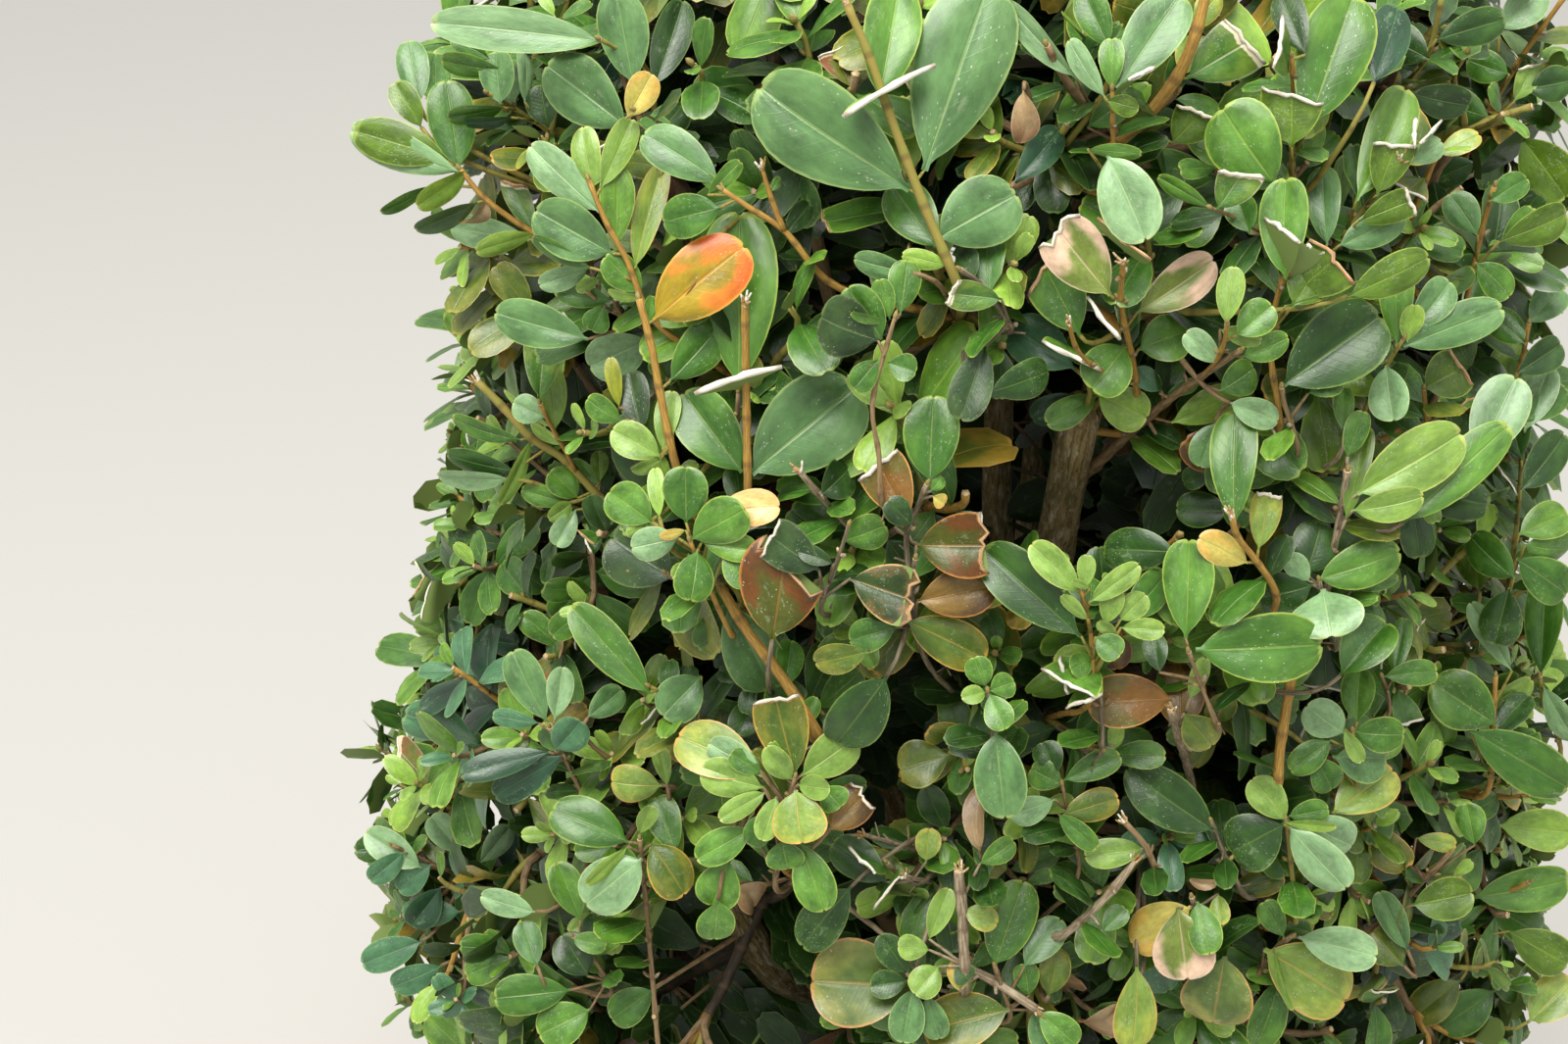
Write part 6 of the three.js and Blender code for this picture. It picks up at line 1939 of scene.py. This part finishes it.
# ------------------------------------------------------------ trunk and boughs
def bark_limb(soup, place, radius, length, sides, seed, mat=0, relief=0.1):
    """One limb with ridged, knotty bark."""
    rings = max(8, int(length / 2.6))
    t = np.linspace(0, 1, rings)
    pts = place(t)
    tangent = unit(np.gradient(pts, axis=0))
    x, y = carry_frames(tangent[None])
    x, y = x[0], y[0]
    a = np.arange(sides) / sides * 2 * np.pi
    s = t[:, None] * length
    twist = 0.5 * np.sin(s * 0.02 + seed) + s * 0.004
    ridge = np.sin(4 * (a[None] + twist) + seed) + 0.7 * np.sin(7 * (a[None] - twist * 0.6) + 2 * seed + s * 0.05)
    ridge = ridge + 0.5 * np.sin(11 * a[None] + s * 0.11 + 3 * seed)
    local = np.random.default_rng(int(seed * 1000) % 99991)
    grain = local.normal(size=(rings, sides)) * 0.35
    grain = (grain + np.roll(grain, 1, 0) + np.roll(grain, -1, 0)) / 2
    knots = np.zeros((rings, sides))
    for _ in range(max(2, int(length / 34))):
        ks, ka = local.random() * length, local.random() * 2 * np.pi
        da = (a[None] - ka + np.pi) % (2 * np.pi) - np.pi
        knots += (0.9 + local.random()) * np.exp(-((s - ks) / 3.4) ** 2 - (da / 0.5) ** 2)
    r = radius(t)[:, None] * (1 + relief * (0.5 * ridge + grain * 0.5) + 0.2 * knots)
    ring = pts[:, None] + x[:, None] * (np.cos(a)[None] * r)[..., None] + y[:, None] * (np.sin(a)[None] * r)[..., None]
    j, i = np.meshgrid(np.arange(rings - 1), np.arange(sides), indexing="ij")
    j, i = j.ravel(), i.ravel()
    nxt = (i + 1) % sides
    quad = np.stack([j * sides + i, j * sides + nxt, (j + 1) * sides + nxt, (j + 1) * sides + i], 1)
    sv = t * length / 16.0
    uv = np.stack([
        np.stack([i / sides, sv[j]], -1), np.stack([(i + 1) / sides, sv[j]], -1),
        np.stack([(i + 1) / sides, sv[j + 1]], -1), np.stack([i / sides, sv[j + 1]], -1),
    ], 1)
    soup.add(ring, quad, uv, mat)
    first = soup.count - rings * sides
    soup.faces.append(np.arange(sides)[::-1][None] + first)
    soup.faces.append(np.arange(sides)[None] + first + (rings - 1) * sides)
    for end in (0.0, sv[-1]):
        soup.uvs.append(np.stack([a / (2 * np.pi), np.full(sides, end)], -1)[None])
        soup.mats.append(np.full(1, mat, np.int32))


boughs = Soup()
names = []
for k, (name, r0, r1, points) in enumerate(SHOWN_BOUGHS):
    place, length = catmull([STEM_TOP + [0, 0, -6]] + points)
    radius = lambda t, r0=r0, r1=r1: r1 + (r0 - r1) * (1 - t) ** 1.1 + 1.6 * (1 - t) ** 8
    # the low hollow's limb takes the darkened bark, painted shade
    bark_limb(boughs, place, radius, length, 18, 1.3 + k * 2.1, mat=int(name == "bough_low_hollow"))
    names.append(name)
for k, (short, d, _) in enumerate(CELLS):
    place, length = catmull(bough_points(k))
    r0 = 6.2 - 0.12 * k
    radius = lambda t, r0=r0: 3.4 + (r0 - 3.4) * (1 - t) ** 1.1 + 1.6 * (1 - t) ** 8
    bark_limb(boughs, place, radius, length, 12, 0.7 + k * 1.37)
    names.append("bough_" + short)
obj = boughs.build("boughs_bark", [MAT_BARK, MAT_PAINTED_SHADE_BARK], uv_name="Limb")
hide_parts(*names)

trunk = Soup()


def trunk_place(t):
    t = np.asarray(t)
    return STEM_FOOT + np.stack([4 * t * t, -3 * t * t, 40 * t], -1)


def trunk_radius(t):
    return 12.5 - 1.5 * t + 6.5 * (1 - t) ** 4


bark_limb(trunk, trunk_place, trunk_radius, 40.0, 32, 2.9, relief=0.06)
obj = trunk.build("trunk_bark", [MAT_BARK], uv_name="Limb")
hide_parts("trunk")


# --------------------------------------------------------------- pot and soil
def pot_material():
    g = Graph("pot_plastic", roughness=0.46, specular=0.45)
    at = g.place()
    x, y, z = g.split(at)
    broad = g.noise(at, 14.0, 4.0, 0.6)
    fine = g.noise(at, 900.0, 2.0, 0.5)
    scuff = g.noise(g.vector("MULTIPLY", at, (1.0, 1.0, 0.25)), 160.0, 5.0, 0.7)
    colour = g.mix(broad, srgb(214, 104, 74), srgb(230, 124, 92))
    # dust and dried splashes, heavier near the ground, and a paler band round the top of the rim
    low = g.step(z, 0.06, 0.0)
    dust = g.math("MULTIPLY", g.step(g.math("ADD", scuff, g.math("MULTIPLY", low, 0.14)), 0.54, 0.72), 0.42)
    colour = g.mix(dust, colour, srgb(196, 150, 122))
    paler_rim_top = g.math("MULTIPLY", g.step(z, 0.2165, 0.2195), g.step(scuff, 0.4, 0.6))
    colour = g.mix(g.math("MULTIPLY", paler_rim_top, 0.45), colour, srgb(236, 160, 132))
    rough = g.math("MULTIPLY_ADD", dust, 0.7, 0.42)
    height = g.math("ADD", g.math("MULTIPLY", fine, 0.25), g.math("MULTIPLY", scuff, 0.5))
    normal = g.bump(height, 0.25, 0.0003)
    g.material.diffuse_color = srgb(222, 112, 82)
    return g.finish(colour, rough, normal)


def rounded(points, rounds, steps=4):
    """A profile with its corners rounded by the given radii."""
    out = []
    pts = [np.array(p, float) for p in points]
    for k, p in enumerate(pts):
        r = rounds[k]
        if r <= 0 or k == 0 or k == len(pts) - 1:
            out.append(p)
            continue
        a, b = pts[k - 1] - p, pts[k + 1] - p
        la, lb = np.linalg.norm(a), np.linalg.norm(b)
        r = min(r, la * 0.48, lb * 0.48)
        s, e = p + a / la * r, p + b / lb * r
        for t in np.linspace(0, 1, steps + 1):
            out.append(s * (1 - t) ** 2 + 2 * p * t * (1 - t) + e * t * t)
    return np.array(out)


def lathe(soup, profile, sides, closed_low=True, closed_high=True, shape=None):
    a = np.arange(sides) / sides * 2 * np.pi
    k = len(profile)
    r, z = profile[:, 0][:, None], profile[:, 1][:, None]
    if shape is not None:
        r, z = shape(r, z, a[None])
    else:
        r, z = np.broadcast_to(r, (k, sides)), np.broadcast_to(z, (k, sides))
    verts = np.stack([np.cos(a)[None] * r, np.sin(a)[None] * r, z], -1)
    j, i = np.meshgrid(np.arange(k - 1), np.arange(sides), indexing="ij")
    j, i = j.ravel(), i.ravel()
    nxt = (i + 1) % sides
    quad = np.stack([j * sides + i, j * sides + nxt, (j + 1) * sides + nxt, (j + 1) * sides + i], 1)
    soup.add(verts, quad)
    first = soup.count - k * sides
    if closed_low:
        soup.faces.append(np.arange(sides)[::-1][None] + first)
        soup.uvs.append(np.zeros((1, sides, 2)))
        soup.mats.append(np.zeros(1, np.int32))
    if closed_high:
        soup.faces.append(np.arange(sides)[None] + first + (k - 1) * sides)
        soup.uvs.append(np.zeros((1, sides, 2)))
        soup.mats.append(np.zeros(1, np.int32))


neck = POT_HEIGHT - POT_RIM_HEIGHT
corner = [
    (60, 2.2), (64, 0.0), (POT_BASE - 3, 0.0), (POT_BASE, 3.5), (POT_BASE + 4.2, 28), (POT_BASE + 3.4, 30),
    (POT_NECK - 1.2, neck - 6), (POT_NECK, neck), (POT_RIM - 2, neck), (POT_RIM, neck + 3),
    (POT_RIM, POT_HEIGHT - 8), (POT_RIM - 4.5, POT_HEIGHT), (POT_RIM - 11.5, POT_HEIGHT - 1.2),
    (POT_NECK - POT_WALL, POT_HEIGHT - 8), (POT_NECK - POT_WALL, neck), (POT_BASE - POT_WALL, 5.0),
]
rounds = [0, 2, 2, 3, 2, 2, 3, 3, 2, 2.5, 7, 6, 6, 6, 6, 0]
pot = Soup()
lathe(pot, rounded(corner, rounds, 3), 120)
obj = pot.build("pot_shell", [pot_material()])
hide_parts("pot")


def soil_material():
    g = Graph("potting_soil", roughness=0.95, specular=0.2)
    at = g.place()
    grain = g.noise(at, 320.0, 5.0, 0.7)
    clump = g.cells(at, 150.0)
    broad = g.noise(at, 30.0, 3.0, 0.5)
    colour, _ = g.ramp(grain, [
        (0.0, srgb(38, 28, 20)), (0.45, srgb(74, 56, 42)), (0.62, srgb(112, 88, 66)), (0.8, srgb(158, 132, 104)),
    ], "LINEAR")
    colour = g.mix(g.math("MULTIPLY", broad, 0.5), colour, srgb(88, 66, 50))
    normal = g.bump(g.math("SUBTRACT", grain, g.math("MULTIPLY", clump, 0.7)), 0.9, 0.002)
    g.material.diffuse_color = srgb(90, 70, 54)
    return g.finish(colour, None, normal)


MAT_SOIL = soil_material()
rng = np.random.default_rng(31)
soil = Soup()
inner = POT_NECK - POT_WALL - 0.6
sides = 96
radii = np.concatenate([np.linspace(6, 120, 34), [inner - 1.5, inner]])
heights = []
profile = [(r, 0.0) for r in radii[::-1]]
a = np.arange(sides) / sides * 2 * np.pi


def soil_shape(r, z, a):
    r = np.broadcast_to(r, (r.shape[0], a.shape[1])).copy()
    x, y = r * np.cos(a), r * np.sin(a)
    mound = SOIL_EDGE + SOIL_MOUND * np.clip(1 - (r - 25) / 105, 0, 1) - 0.6
    rough = 0.9 * np.sin(0.23 * x + 0.11 * y) * np.cos(0.19 * y - 0.07 * x) + 0.7 * np.sin(0.61 * x - 0.4 * y + 1)
    rough = rough + rng.normal(size=r.shape) * 0.55
    z = mound + rough * np.clip((inner - r) / 8, 0.1, 1)
    return r, z


top = np.array(profile)
lathe(soil, top, sides, closed_low=False, closed_high=True, shape=soil_shape)
# the hidden body of soil below, down to the pot's floor
body = np.array([(POT_BASE - POT_WALL - 1, 6.0), (inner - 0.2, neck), (inner, SOIL_EDGE - 1)])
lathe(soil, body, 48, closed_low=True, closed_high=False)


def crumbs(soup, count, rng):
    """Lumps of peat and chips of bark on the soil."""
    phi = (1 + 5**0.5) / 2
    ico = unit(np.array([(-1, phi, 0), (1, phi, 0), (-1, -phi, 0), (1, -phi, 0), (0, -1, phi), (0, 1, phi),
                         (0, -1, -phi), (0, 1, -phi), (phi, 0, -1), (phi, 0, 1), (-phi, 0, -1), (-phi, 0, 1)]))
    tri = np.array([(0, 11, 5), (0, 5, 1), (0, 1, 7), (0, 7, 10), (0, 10, 11), (1, 5, 9), (5, 11, 4), (11, 10, 2),
                    (10, 7, 6), (7, 1, 8), (3, 9, 4), (3, 4, 2), (3, 2, 6), (3, 6, 8), (3, 8, 9), (4, 9, 5),
                    (2, 4, 11), (6, 2, 10), (8, 6, 7), (9, 8, 1)])
    r = (inner - 4) * np.sqrt(rng.random(count))
    ang = rng.random(count) * 2 * np.pi
    size = 1.0 + 2.6 * rng.random(count) ** 3
    stretch = 1 + 1.2 * rng.random(count)
    spin = rng.random(count) * np.pi
    v = ico[None] * (1 + 0.35 * rng.normal(size=(count, 12, 1)).clip(-1, 1))
    v = v * (size[:, None, None] * np.stack([stretch, np.ones(count), 0.55 + 0.3 * rng.random(count)], 1)[:, None])
    cs, sn = np.cos(spin)[:, None], np.sin(spin)[:, None]
    v = np.stack([v[..., 0] * cs - v[..., 1] * sn, v[..., 0] * sn + v[..., 1] * cs, v[..., 2]], -1)
    z = SOIL_EDGE + SOIL_MOUND * np.clip(1 - (r - 25) / 105, 0, 1)
    v = v + np.stack([r * np.cos(ang), r * np.sin(ang), z + size * 0.2], 1)[:, None]
    faces = (tri[None] + np.arange(count)[:, None, None] * 12).reshape(-1, 3)
    soup.add(v.reshape(-1, 3), faces)


crumbs(soil, 480, rng)
obj = soil.build("soil_surface", [MAT_SOIL], smooth=False)
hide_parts("soil")
print("total triangles", sum(TOTAL))

# ---------------------------------------------------- floor, light and camera
floor_mesh = bpy.data.meshes.new("floor")
w = 6.0
floor_mesh.from_pydata([(-w, -w, 0), (w, -w, 0), (w, w, 0), (-w, w, 0)], [], [(0, 1, 2, 3)])
floor = bpy.data.objects.new("floor", floor_mesh)
floor_mesh.materials.append(Graph("floor_pale", roughness=0.9, base=srgb(188, 186, 182), specular=0.2).material)
bpy.context.scene.collection.objects.link(floor)
floor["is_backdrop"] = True

world = bpy.data.worlds.new("soft_sky")
world.use_nodes = True
back = world.node_tree.nodes["Background"]
sky_nodes, sky_links = world.node_tree.nodes, world.node_tree.links
sky_way = sky_nodes.new("ShaderNodeTexCoord")
sky_split = sky_nodes.new("ShaderNodeSeparateXYZ")
sky_ramp = sky_nodes.new("ShaderNodeValToRGB")
sky_links.new(sky_way.outputs["Generated"], sky_split.inputs[0])
sky_links.new(sky_split.outputs[2], sky_ramp.inputs[0])
sky_ramp.color_ramp.elements[0].position = 0.0
sky_ramp.color_ramp.elements[0].color = (0.42, 0.42, 0.4, 1)
sky_ramp.color_ramp.elements[1].position = 0.95
sky_ramp.color_ramp.elements[1].color = (1.0, 1.0, 0.97, 1)
sky_links.new(sky_ramp.outputs[0], back.inputs["Color"])
back.inputs["Strength"].default_value = 1.25
bpy.context.scene.world = world
bpy.context.scene.view_settings.view_transform = "Standard"


def area_light(name, place, target, size, power, colour):
    light = bpy.data.lights.new(name, "AREA")
    light.shape = "DISK"
    light.size = size
    light.energy = power
    light.color = colour
    obj = bpy.data.objects.new(name, light)
    from mathutils import Vector
    obj.location = Vector(place)
    obj.rotation_euler = (Vector(target) - Vector(place)).to_track_quat("-Z", "Y").to_euler()
    bpy.context.scene.collection.objects.link(obj)


area_light("soft_above", (-0.35, -0.55, 2.1), (0, 0, 0.42), 1.3, 46, (1.0, 0.985, 0.94))

cam_data = bpy.data.cameras.new("camera")
cam_data.lens = CAM_LENS
cam_data.sensor_width = 36
cam_data.clip_start = 0.01
cam = bpy.data.objects.new("camera", cam_data)
cam.location = CAM_PLACE * MM
cam.rotation_euler = (math.radians(90 - CAM_PITCH), 0, 0)
bpy.context.scene.collection.objects.link(cam)
bpy.context.scene.camera = cam

low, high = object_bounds()
